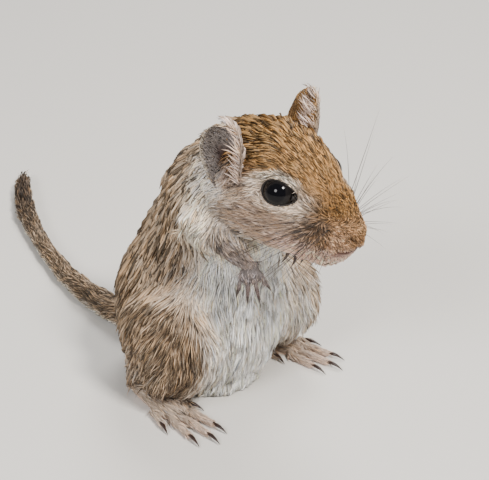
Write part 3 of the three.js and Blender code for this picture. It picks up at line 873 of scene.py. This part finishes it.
def footFields(points, normals, side):
    turned = bothSides[side]
    forward = unit(np.array((math.cos(footFrame["splay"]), turned * math.sin(footFrame["splay"]), -0.05)))
    reach = smoothStep(points[:, 0], 8, 22)
    sole = smoothStep(-normals[:, 2], 0.15, 0.6)
    colours = paint(allOver(points, "foot"), (0.35 * reach, "pinkGrey"), (sole, "pinkGrey"))
    return fieldsOf(len(points), layAlong(forward, normals), colours, length=2.4 - 1.1 * reach,
                    width=0.22 - 0.05 * reach, lift=0.5, ruffle=0, ticked=0.12,
                    thick=np.where((points[:, 2] < 0.5) | (sole > 0.5), 0, 1))


# The lids are bare
def lidFields(points, normals):
    return fieldsOf(len(points), layAlong(np.array((0.0, 0, 1)), normals), allOver(points, "lid"), length=1,
                    width=1, lift=1, ruffle=0, thick=0, ticked=0)


# Groups of the skin's points: the body's parts, then ears, paws and lids
groupOf = {"head": 0, "neck": 2, "chest": 3, "belly": 4, "rump": 5, "foreLeg": 6, "hindLeg": 7, "tail": 8,
           "ears": 20, "paws": 21, "lids": 22}


# All the flesh as one skin, with its fields stacked in the same order
def makeSkin():
    parts = [(coordsOf(bodyMesh), facesOf(bodyMesh))]
    fields = [bodyFields(bodyMesh, bodyShare)]
    groups = [np.array([groupOf[part] for part in wear])[bodyShare.argmax(1)]]

    def add(points, faces, group, makeFields, *facts):
        mesh = meshFrom("piece", points, faces)
        fields.append(makeFields(points, normalsOf(mesh), *facts))
        bpy.data.meshes.remove(mesh)
        parts.append((points, faces))
        groups.append(np.full(len(points), groupOf[group]))
    for turned in bothSides.values():
        points, faces, facts = makeEar(turned)
        add(points, faces, "ears", earFields, facts)
    for side in bothSides:
        points, faces, drawn = makePaw(side)
        add(points, faces, "paws", pawFields, drawn, side)
        add(*makeFoot(side), "paws", footFields, side)
    add(*makeLids(), "lids", lidFields)
    whole = {key: np.concatenate([field[key] for field in fields]) for key in fields[0]}
    points, faces = joined(parts)
    return points, faces, whole, np.concatenate(groups)


skinPoints, skinFaces, skinFields, skinGroups = makeSkin()
skin = makeObject("skin", meshFrom("skin", skinPoints, skinFaces))
# Under the coat the skin is darkened, more where the coat is ticked: painted shade, so that the gaps between
# the hairs show dark
hairGapShade = np.clip(skinFields["thick"], 0, 1) * (0.25 + 0.5 * skinFields["ticked"])
underColour = skinFields["colour"] * (1 - hairGapShade)[:, None]
writeField(skin.data, "coatColour", underColour, "FLOAT_COLOR")
print("skin:", len(skinPoints), "points,", sum(len(f) - 2 for f in skinFaces), "triangles")


# Unwraps the skin by its own shape, for its own map and for the tufts' places
def unwrap(thing):
    bpy.context.view_layer.objects.active = thing
    thing.select_set(True)
    bpy.ops.object.mode_set(mode="EDIT")
    bpy.ops.mesh.select_all(action="SELECT")
    bpy.ops.uv.smart_project(angle_limit=math.radians(66), island_margin=0.002)
    bpy.ops.object.mode_set(mode="OBJECT")
    thing.select_set(False)
    thing.data.uv_layers[0].name = "OFBake"


unwrap(skin)
print("skin unwrapped")

coatSet = {"patch": 0.003, "sunk": 0.12, "wave": 0.12, "waveLength": 0.0022, "seed": 7,
           "mostTufts": 15900, "ears": 6500, "paws": 4500, "groundLevel": 0.0002}


# One closed tuft of twelve triangles, a unit long, lying along X and bending over
def makeTuft():
    rings = [(0.24, 0.08, 0.5, 0.055), (0.62, 0.135, 0.33, 0.045)]
    points = [(0, 0, 0)]
    for x, z, half, deep in rings:
        points += [(x, -half, z - 0.4 * deep), (x, half, z - 0.4 * deep), (x, 0, z + deep)]
    points.append((1, 0, 0.115))
    faces = [(0, 2, 1), (0, 3, 2), (0, 1, 3)]
    for k in range(3):
        a, b = 1 + k, 1 + (k + 1) % 3
        faces += [(a, b, b + 3), (a, b + 3, a + 3)]
        faces.append((a + 3, b + 3, 7))
    mesh = bpy.data.meshes.new("tuft")
    mesh.from_pydata(points, [], faces)
    smoothShade(mesh)
    writeField(mesh, "along", [p[0] for p in points])
    writeField(mesh, "patch", [(0.9 * p[1], p[0] - 0.5, 0) for p in points], "FLOAT_VECTOR")
    return bpy.data.objects.new("tuft", mesh)


def newTree(name, inputs):
    tree = bpy.data.node_groups.new(name, "GeometryNodeTree")
    for label, kind, value in inputs:
        socket = tree.interface.new_socket(label, in_out="INPUT", socket_type=kind)
        if value is not None:
            socket.default_value = value
    tree.interface.new_socket("Geometry", in_out="OUTPUT", socket_type="NodeSocketGeometry")
    return tree


# A new node with its settings, its inputs linked or set, and the output that is asked for
def addNode(tree, kind, inputs, output, **settings):
    node = tree.nodes.new(kind)
    for key, value in settings.items():
        setattr(node, key, value)
    for key, value in inputs.items():
        if isinstance(value, bpy.types.NodeSocket):
            tree.links.new(value, node.inputs[key])
        else:
            node.inputs[key].default_value = value
    return node.outputs[output]


def named(tree, name, kind="FLOAT"):
    return addNode(tree, "GeometryNodeInputNamedAttribute", {"Name": name}, "Attribute", data_type=kind)


def mathNode(tree, operation, first, second):
    return addNode(tree, "ShaderNodeMath", {0: first, 1: second}, "Value", operation=operation)


def scaled(tree, vector, factor):
    inputs = {"Vector": vector, "Scale": factor}
    return addNode(tree, "ShaderNodeVectorMath", inputs, "Vector", operation="SCALE")


# Stands a tuft on each root, makes the tips wander, and gives each its patch of the map
def coatTree():
    tree = newTree("coat", [("Roots", "NodeSocketGeometry", None), ("Tuft", "NodeSocketObject", None),
                            ("Wave", "NodeSocketFloat", coatSet["wave"]),
                            ("Wave Length", "NodeSocketFloat", coatSet["waveLength"]),
                            ("Patch", "NodeSocketFloat", coatSet["patch"]),
                            ("Ground", "NodeSocketFloat", coatSet["groundLevel"]),
                            ("Material", "NodeSocketMaterial", None)])
    given = tree.nodes.new("NodeGroupInput").outputs
    hair = addNode(tree, "GeometryNodeObjectInfo", {"Object": given["Tuft"]}, "Geometry")
    hairs = addNode(tree, "GeometryNodeInstanceOnPoints", {
        "Points": given["Roots"], "Instance": hair, "Rotation": named(tree, "turn", "FLOAT_VECTOR"),
        "Scale": named(tree, "size", "FLOAT_VECTOR")}, "Instances")
    hairs = addNode(tree, "GeometryNodeRealizeInstances", {"Geometry": hairs}, "Geometry")
    noise = addNode(tree, "ShaderNodeTexNoise", {
        "Detail": 1.0, "Scale": mathNode(tree, "DIVIDE", 1.0, given["Wave Length"])}, "Color")
    centred = addNode(tree, "ShaderNodeVectorMath", {0: noise, 1: (0.5, 0.5, 0.5)}, "Vector",
                      operation="SUBTRACT")
    along = named(tree, "along")
    reach = mathNode(tree, "MULTIPLY", named(tree, "reach"), given["Wave"])
    amount = mathNode(tree, "MULTIPLY", mathNode(tree, "MULTIPLY", along, along), reach)
    offset = scaled(tree, centred, mathNode(tree, "MULTIPLY", amount, 2.0))
    hairs = addNode(tree, "GeometryNodeSetPosition", {"Geometry": hairs, "Offset": offset}, "Geometry")
    place = addNode(tree, "GeometryNodeInputPosition", {}, "Position")
    x, y, z = addNode(tree, "ShaderNodeSeparateXYZ", {"Vector": place}, "X").node.outputs
    onFloor = addNode(tree, "ShaderNodeCombineXYZ", {
        "X": x, "Y": y, "Z": mathNode(tree, "MAXIMUM", z, given["Ground"])}, "Vector")
    hairs = addNode(tree, "GeometryNodeSetPosition", {"Geometry": hairs, "Position": onFloor}, "Geometry")
    patch = scaled(tree, named(tree, "patch", "FLOAT_VECTOR"), given["Patch"])
    spot = named(tree, "spot", "FLOAT_VECTOR")
    spot = addNode(tree, "ShaderNodeVectorMath", {0: spot, 1: patch}, "Vector", operation="ADD")
    hairs = addNode(tree, "GeometryNodeStoreNamedAttribute", {
        "Name": "OFBake", "Geometry": hairs, "Value": spot}, "Geometry", data_type="FLOAT2", domain="CORNER")
    hairs = addNode(tree, "GeometryNodeSetMaterial", {
        "Geometry": hairs, "Material": given["Material"]}, "Geometry")
    tree.links.new(hairs, tree.nodes.new("NodeGroupOutput").inputs["Geometry"])
    return tree


def setInput(modifier, tree, label, value):
    socket = next(s for s in tree.interface.items_tree if s.name == label and s.in_out == "INPUT")
    modifier[socket.identifier] = value


# Slow wander of the comb over the surface, so that the hair falls into locks
def swirl(points, size, random):
    total = np.zeros(len(points))
    for _ in range(5):
        way = random.normal(size=3)
        way *= 2 * np.pi / (size * random.uniform(0.7, 1.6)) / np.linalg.norm(way)
        total += np.sin(points @ way + random.uniform(0, 2 * np.pi))
    return total / 2.2


def scatterRoots(mesh, fields, groups):
    mesh.calc_loop_triangles()
    corners = gathered(mesh.loop_triangles, "vertices", 3, np.int32)
    loops = gathered(mesh.loop_triangles, "loops", 3, np.int32)
    spots = gathered(mesh.uv_layers["OFBake"].data, "uv", 2, np.float32)
    points, normals = coordsOf(mesh), normalsOf(mesh)
    a, b, c = (points[corners[:, k]] for k in range(3))
    area = np.linalg.norm(np.cross(b - a, c - a), axis=1) / 2
    density = fields["thick"] / (fields["length"] * fields["width"])
    weight = area * density[corners].mean(1) * (density[corners].min(1) > 0)
    owner = groups[corners[:, 0]]
    random = np.random.default_rng(coatSet["seed"])
    roots = {}
    for name in [*wear, "ears", "paws"]:
        mine = np.flatnonzero((owner == groupOf[name]) & (weight > 0))
        total = np.cumsum(weight[mine])
        number = wear[name]["tufts"] if name in wear else coatSet[name]
        pick = (np.arange(number) + random.random(number)) * total[-1] / number
        chosen = mine[np.minimum(np.searchsorted(total, pick), len(mine) - 1)]
        u, v = random.random(number), random.random(number)
        flip = u + v > 1
        u, v = np.where(flip, 1 - u, u), np.where(flip, 1 - v, v)
        share = np.stack([1 - u - v, u, v], 1)

        def at(values, index=corners):
            values = np.asarray(values, float)
            picked = values[index[chosen]]
            return (picked * (share[..., None] if picked.ndim == 3 else share)).sum(1)
        root = {key: at(value) for key, value in fields.items()}
        root["place"], root["normal"], root["spot"] = at(points), unit(at(normals)), at(spots, loops)
        roots[name] = root
    return roots, random


# How much the tufts differ from one another, as shares of their own measures
varySet = {"swirlTurn": 0.17, "turn": 0.11, "ruffledTurn": 0.5, "length": 0.22, "width": 0.25, "lift": 0.32,
           "swirlLift": 0.25, "bright": 0.13, "tickedBright": 0.14, "ruffledBright": 0.13,
           "swirlBright": 0.07, "warm": 0.05, "dark": 0.37, "ruffledDark": 0.08, "darkTone": 0.3,
           "paleTone": 1.16}


def tuftFacts(root, random):
    number = len(root["length"])
    normal = root["normal"]
    upward = np.maximum(normal[:, 2], -smoothStep(root["place"][:, 2], 1, 7))
    normal = unit(np.stack([normal[:, 0], normal[:, 1] + 1e-4, upward], 1))
    lie = layAlong(root["lie"], normal)
    side = np.cross(normal, lie)
    turn = varySet["swirlTurn"] * swirl(root["place"], 3.2, random)
    turn += (varySet["turn"] + varySet["ruffledTurn"] * root["ruffle"]) * random.normal(size=number)
    lie = lie * np.cos(turn)[:, None] + side * np.sin(turn)[:, None]
    length = root["length"] * np.clip(1 + varySet["length"] * random.normal(size=number), 0.5, 1.6)
    # Near the floor the hair turns along it
    lie[:, 2] = np.maximum(lie[:, 2], -np.maximum(root["place"][:, 2] - 0.3, 0) / length)
    lie = unit(lie)
    normal = layAlong(normal, lie)
    side = np.cross(normal, lie)
    width = root["width"] * np.clip(1 + varySet["width"] * random.normal(size=number), 0.5, 1.7)
    rise = 1 + varySet["lift"] * random.normal(size=number)
    rise += varySet["swirlLift"] * swirl(root["place"], 4.0, random)
    lift = length * root["lift"] * np.clip(rise, 0.3, 2.2)
    axes = np.stack([lie, side, normal], 2)
    euler = np.stack([np.arctan2(axes[:, 2, 1], axes[:, 2, 2]), -np.arcsin(np.clip(axes[:, 2, 0], -1, 1)),
                      np.arctan2(axes[:, 1, 0], axes[:, 0, 0])], 1)
    vary = (varySet["bright"] + varySet["tickedBright"] * root["ticked"]
            + varySet["ruffledBright"] * root["ruffle"])
    bright = np.clip(1 + vary * random.normal(size=number)
                     + varySet["swirlBright"] * swirl(root["place"], 5.0, random), 0.4, 1.7)
    chance = varySet["dark"] * root["ticked"] + varySet["ruffledDark"] * root["ruffle"]
    dark = random.random(number) < chance
    tone = np.where(dark, varySet["darkTone"], varySet["paleTone"])
    colour = root["colour"] * bright[:, None] * tone[:, None]
    warm = varySet["warm"] * random.normal(size=number)
    colour = np.clip(colour * np.stack([1 + warm, np.ones(number), 1 - 1.5 * warm], 1), 0.004, 0.92)
    return {
        "place": root["place"] - coatSet["sunk"] * normal, "turn": euler,
        "size": np.stack([length, width, lift], 1) * mm, "reach": length * mm,
        "spot": np.append(root["spot"], np.zeros((number, 1)), 1), "colour": colour,
        "ticked": root["ticked"] * random.uniform(0.3, 1.0, number),
    }


def makeCoatPiece(name, facts, tree, tuft, material):
    mesh = bpy.data.meshes.new(name)
    mesh.from_pydata([tuple(p) for p in facts["place"] * mm], [], [])
    for key in ("turn", "size", "spot"):
        writeField(mesh, key, facts[key], "FLOAT_VECTOR")
    for key in ("reach", "ticked"):
        writeField(mesh, key, facts[key])
    writeField(mesh, "coatColour", facts["colour"], "FLOAT_COLOR")
    rootsObject = makeObject(name + "_roots", mesh)
    modifier = rootsObject.modifiers.new("coat", "NODES")
    modifier.node_group = tree
    setInput(modifier, tree, "Tuft", tuft)
    setInput(modifier, tree, "Material", material)
    graph = bpy.context.evaluated_depsgraph_get()
    grown = bpy.data.meshes.new_from_object(rootsObject.evaluated_get(graph))
    grown.name = name
    for key in ("turn", "size", "spot", "reach", "patch"):
        if key in grown.attributes:
            grown.attributes.remove(grown.attributes[key])
    dropObject(rootsObject)
    return makeObject(name, grown)


# Materials
def newMaterial(name, **values):
    material = bpy.data.materials.new(name)
    material.use_nodes = True
    shader = material.node_tree.nodes["Principled BSDF"]
    for key, value in values.items():
        shader.inputs[key].default_value = value
    return material, material.node_tree, shader


def attributeNode(tree, name, output="Fac"):
    return addNode(tree, "ShaderNodeAttribute", {}, output, attribute_name=name)


def noiseNode(tree, **inputs):
    place = addNode(tree, "ShaderNodeTexCoord", {}, "Object")
    return addNode(tree, "ShaderNodeTexNoise", {"Vector": place, **inputs}, "Fac")


def rampNode(tree, factor, stops):
    node = tree.nodes.new("ShaderNodeValToRGB")
    ramp = node.color_ramp
    while len(ramp.elements) < len(stops):
        ramp.elements.new(0.5)
    for element, (position, value) in zip(ramp.elements, stops):
        element.position = position
        element.color = (value, value, value, 1) if isinstance(value, (int, float)) else (*value, 1)
    tree.links.new(factor, node.inputs["Fac"])
    return node.outputs["Color"]


def multiplied(tree, first, second, factor=1.0):
    return addNode(tree, "ShaderNodeMix", {0: factor, 6: first, 7: second}, 2, data_type="RGBA",
                   blend_type="MULTIPLY")


def coatMaterial():
    material, tree, shader = newMaterial("furCoat", **{"Roughness": 0.5, "Specular IOR Level": 0.22})
    colour = attributeNode(tree, "coatColour", "Color")
    along = attributeNode(tree, "along")
    base = rampNode(tree, along, [(0.0, 0.3), (0.3, 0.72), (0.5, 1.0), (1.0, 1.1)])
    colour = multiplied(tree, colour, base)
    tips = rampNode(tree, along, [(0.62, 1.0), (0.92, 0.28)])
    colour = multiplied(tree, colour, tips, attributeNode(tree, "ticked"))
    tree.links.new(colour, shader.inputs["Base Color"])
    return material


def skinMaterial():
    material, tree, shader = newMaterial("underCoatSkin", **{"Roughness": 0.62, "Specular IOR Level": 0.3})
    colour = attributeNode(tree, "coatColour", "Color")
    noise = noiseNode(tree, Scale=900, Detail=3)
    colour = multiplied(tree, colour, rampNode(tree, noise, [(0.3, 0.7), (0.7, 1.0)]))
    tree.links.new(colour, shader.inputs["Base Color"])
    bump = addNode(tree, "ShaderNodeBump", {"Strength": 0.35, "Distance": 0.0002, "Height": noise}, "Normal")
    tree.links.new(bump, shader.inputs["Normal"])
    return material


skin.data.materials.append(skinMaterial())
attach(skin, "root")
fleshNodes = [n for p in wear.values() for n in p["nodes"]]
fleshNodes += [n + "_" + side for n in ("ear", "fore_paw", "hind_foot") for side in bothSides]
fleshNodes += [f"fore_digit_{side}_{k + 1}" for side in bothSides for k in range(4)]
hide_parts(*fleshNodes)

tuft = makeTuft()
tree = coatTree()
furMaterial = coatMaterial()
allRoots, random = scatterRoots(skin.data, skinFields, skinGroups)
tufts = 0
for name, root in allRoots.items():
    facts = tuftFacts(root, random)
    number = len(facts["reach"])
    tufts += number
    pieces = math.ceil(number / coatSet["mostTufts"])
    order = np.argsort(facts["place"][:, 0], kind="stable")
    for k, chosen in enumerate(np.array_split(order, pieces)):
        label = "coat_" + name if pieces == 1 else f"coat_{name}_{k + 1}"
        share = {key: value[chosen] for key, value in facts.items()}
        piece = makeCoatPiece(label, share, tree, tuft, furMaterial)
        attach(piece, "root")
    print(name, number, "tufts in", pieces, "pieces")
print("coat:", tufts, "tufts")


# Eyes
def makeEye(turned):
    centre, forward, above, axis = eyeFrame(turned)
    rows, around = 28, 48
    points, gaze = [], []
    for j in range(1, rows):
        lean = math.pi * j / rows
        bulge = 1 + 0.02 * math.exp(-(lean / 0.55) ** 2)
        for k in range(around):
            turn = 2 * math.pi * k / around
            sideways = math.cos(turn) * forward + math.sin(turn) * above
            way = math.cos(lean) * axis + math.sin(lean) * sideways
            points.append(centre + eyeSet["radius"] * bulge * way)
            gaze.append(lean / math.pi)
    points += [centre + 1.02 * eyeSet["radius"] * axis, centre - eyeSet["radius"] * axis]
    gaze += [0, 1]
    # Outside the lids the ball is drawn in, so that it shows only between them
    q = eyeView(np.array(points), turned)[3]
    points = centre + (np.array(points) - centre) * (1 - eyeSet["tuck"] * smoothStep(q, 1.04, 1.4))[:, None]
    faces = tubeFaces(rows - 1, around)
    if np.dot(np.cross(forward, above), axis) < 0:
        faces = [face[::-1] for face in faces]
    mesh = meshFrom("eye", points, faces)
    writeField(mesh, "gaze", gaze)
    return mesh


def eyeMaterial():
    material, tree, shader = newMaterial("wetEye", **{"Roughness": 0.03, "Specular IOR Level": 0.16})
    iris = rampNode(tree, attributeNode(tree, "gaze"), [
        (0.0, (0.002, 0.002, 0.003)), (0.17, (0.002, 0.002, 0.003)), (0.20, (0.008, 0.007, 0.007)),
        (0.30, (0.005, 0.004, 0.004)), (0.36, (0.002, 0.002, 0.002))])
    tree.links.new(iris, shader.inputs["Base Color"])
    return material


eyeFinish = eyeMaterial()
for side, turned in bothSides.items():
    eye = makeObject("eyeball_" + side, makeEye(turned))
    eye.data.materials.append(eyeFinish)
    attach(eye, "root")
    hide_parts("eye_" + side)
print("eyes made")


# Claws, drawn like the solids but round, curved and set into the digits.
# Toes of the hind foot, as in the solids: along, across, turn and length
hindToes = [(8.5, -3.0, -0.3, 6.5), (15, -2.3, -0.12, 9.5), (16, -0.1, 0, 10.5), (15, 2.1, 0.13, 9.5),
            (10, 3.1, 0.28, 7)]
clawSet = {"fore": {"length": 1.75, "radius": 0.31, "droop": 0.75},
           "hind": {"length": 2.9, "radius": 0.42, "droop": 0.9}, "toeHeight": 1.15}


def clawOver(base, way, down, facts):
    reach = np.array((-0.35, 0.05, 0.3, 0.55, 0.8, 1.0))
    path = base + np.outer(reach * facts["length"], way)
    path += np.outer(facts["droop"] * np.maximum(reach, 0) ** 2, down)
    return tubeOver(path, facts["radius"] * np.array((0.8, 1.0, 0.82, 0.6, 0.34, 0.08)), 10)


def foreClaws(side):
    parts = []
    for digit in foreDigits:
        path = digitPath(digit, (0.8, 1.0), (0.35, 0.05))
        parts.append(clawOver(path[1], unit(path[1] - path[0]), np.array((-1.0, 0, 0)), clawSet["fore"]))
    points, faces = joined(parts)
    return placePaw(points, side), faces


def hindClaws(side):
    turned = bothSides[side]
    c, s = math.cos(footFrame["splay"]), math.sin(footFrame["splay"])
    parts = []
    for along, across, yaw, length in hindToes:
        way = np.array((math.cos(yaw), math.sin(yaw), 0))
        tip = np.array((along, across, clawSet["toeHeight"])) + length * way
        parts.append(clawOver(tip, way, np.array((0, 0, -1.0)), clawSet["hind"]))
    points, faces = joined(parts)
    x, y, z = points.T
    points = np.stack([x * c - y * s, x * s + y * c, z], 1)
    return (points + footFrame["heel"]) * (1, turned, 1), faces


def clawMaterial():
    material, tree, shader = newMaterial("clawHorn", **{"Roughness": 0.32, "Specular IOR Level": 0.5})
    colour = rampNode(tree, noiseNode(tree, Scale=1400),
                      [(0.3, (0.012, 0.006, 0.005)), (0.7, (0.035, 0.018, 0.014))])
    tree.links.new(colour, shader.inputs["Base Color"])
    return material


clawFinish = clawMaterial()
for kind, make, digits in (("fore", foreClaws, 4), ("hind", hindClaws, 5)):
    for side in bothSides:
        points, faces = make(side)
        mesh = meshFrom(kind + "_claws_" + side, points, faces)
        claws = makeObject(kind + "_claws_" + side, mesh)
        claws.data.materials.append(clawFinish)
        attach(claws, "root")
        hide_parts(*[f"{kind}_claw_{side}_{k + 1}" for k in range(digits)])
print("claws made")

# Whiskers: rows of long tapered hairs on the pads
whiskerSet = {"rows": 5, "perRow": 5, "longest": 31, "radius": 0.075, "seed": 23, "steps": 14, "around": 5,
              "sunk": 0.3, "bend": (-0.35, 0, -1.0),
              "sweep": {"left": (-0.35, 0.95, -0.42), "right": (0.0, 0.75, -1.3)}}


def whiskerOver(base, way, length, radius, sag):
    t = np.linspace(0, 1, whiskerSet["steps"])
    path = base + np.outer(t * length, way) + np.outer(sag * length * t ** 2, whiskerSet["bend"])
    return tubeOver(path, radius * (1 - 0.93 * t ** 1.3), whiskerSet["around"])


def makeWhiskers():
    random = np.random.default_rng(whiskerSet["seed"])
    surface = BVHTree.FromPolygons([Vector(p) for p in skinPoints], skinFaces)
    parts = []
    for side, turned in bothSides.items():
        for row in range(whiskerSet["rows"]):
            rise = row / (whiskerSet["rows"] - 1)
            for k in range(whiskerSet["perRow"]):
                behind = k / (whiskerSet["perRow"] - 1)
                spot = np.array((3.6 + 4.6 * behind + 0.5 * rise, 5.5, -2.4 + 4.4 * rise - 0.6 * behind))
                spot += 0.25 * random.normal(size=3) * (1, 0, 1)
                world = fromHead(spot[None] * (1, turned, 1))[0]
                root, normal = surface.find_nearest(Vector(world))[:2]
                way = np.array(whiskerSet["sweep"][side]) + (1.1 * behind, 0, 0.95 * rise)
                way += 0.12 * random.normal(size=3)
                way = unit(headWays(unit(way) * (1, turned, 1)))
                length = whiskerSet["longest"] * (0.42 + 0.58 * behind) * random.uniform(0.75, 1.05)
                length *= 0.75 + 0.25 * rise
                radius = whiskerSet["radius"] * (0.7 + 0.3 * behind)
                root = np.array(root) - whiskerSet["sunk"] * np.array(normal)
                parts.append(whiskerOver(root, way, length, radius, random.uniform(0.08, 0.34)))
    level = np.linspace(0, 1, whiskerSet["steps"])
    along = np.append(np.repeat(level, whiskerSet["around"]), (0, 1))
    return *joined(parts), np.tile(along, len(parts))


def whiskerMaterial():
    material, tree, shader = newMaterial("whiskerHair", **{"Roughness": 0.35, "Specular IOR Level": 0.5})
    colour = rampNode(tree, attributeNode(tree, "along"),
                      [(0.0, (0.02, 0.014, 0.011)), (0.5, (0.05, 0.037, 0.03)), (1.0, (0.25, 0.2, 0.17))])
    tree.links.new(colour, shader.inputs["Base Color"])
    return material


points, faces, along = makeWhiskers()
whiskers = makeObject("whiskers", meshFrom("whiskers", points, faces))
writeField(whiskers.data, "along", along)
whiskers.data.materials.append(whiskerMaterial())
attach(whiskers, "root")
print("whiskers made")

# Floor, light and sky
studioSet = {"floor": (0.62, 0.60, 0.57), "floorHalf": 1500, "sky": (0.88, 0.88, 0.88), "skyStrength": 0.36,
             "target": (0.02, 0, 0.045)}
# Lamps: azimuth, elevation, distance and size in metres, energy, colour
lamps = {
    "keyLight": (82, 52, 0.7, 0.17, 8.5, (1.0, 0.96, 0.90)),
    "fillLight": (8, 34, 0.8, 0.28, 5.0, (1.0, 0.99, 0.98)),
    "backLight": (215, 50, 0.8, 0.4, 5.0, (1.0, 0.98, 0.95)),
}


def makeFloor():
    far = studioSet["floorHalf"]
    corners = [(-far, -far, 0), (far, -far, 0), (far, far, 0), (-far, far, 0)]
    thing = makeObject("floor", meshFrom("floor", corners, [(0, 1, 2, 3)]))
    material, _, _ = newMaterial("plainFloor", **{"Roughness": 0.7, "Base Color": (*studioSet["floor"], 1)})
    thing.data.materials.append(material)


def makeLight(name, azimuth, elevation, distance, size, energy, colour):
    data = bpy.data.lights.new(name, "AREA")
    data.shape, data.size, data.energy, data.color = "DISK", size, energy, colour
    light = makeObject(name, data)
    a, e = math.radians(azimuth), math.radians(elevation)
    back = Vector((math.sin(a) * math.cos(e), -math.cos(a) * math.cos(e), math.sin(e)))
    light.location = Vector(studioSet["target"]) + distance * back
    light.rotation_euler = back.to_track_quat("Z", "Y").to_euler()


makeFloor()
for name, facts in lamps.items():
    makeLight(name, *facts)
world = bpy.data.worlds.new("softSky")
scene.world = world
world.use_nodes = True
world.node_tree.nodes["Background"].inputs["Color"].default_value = (*studioSet["sky"], 1)
world.node_tree.nodes["Background"].inputs["Strength"].default_value = studioSet["skyStrength"]
print("studio lit")
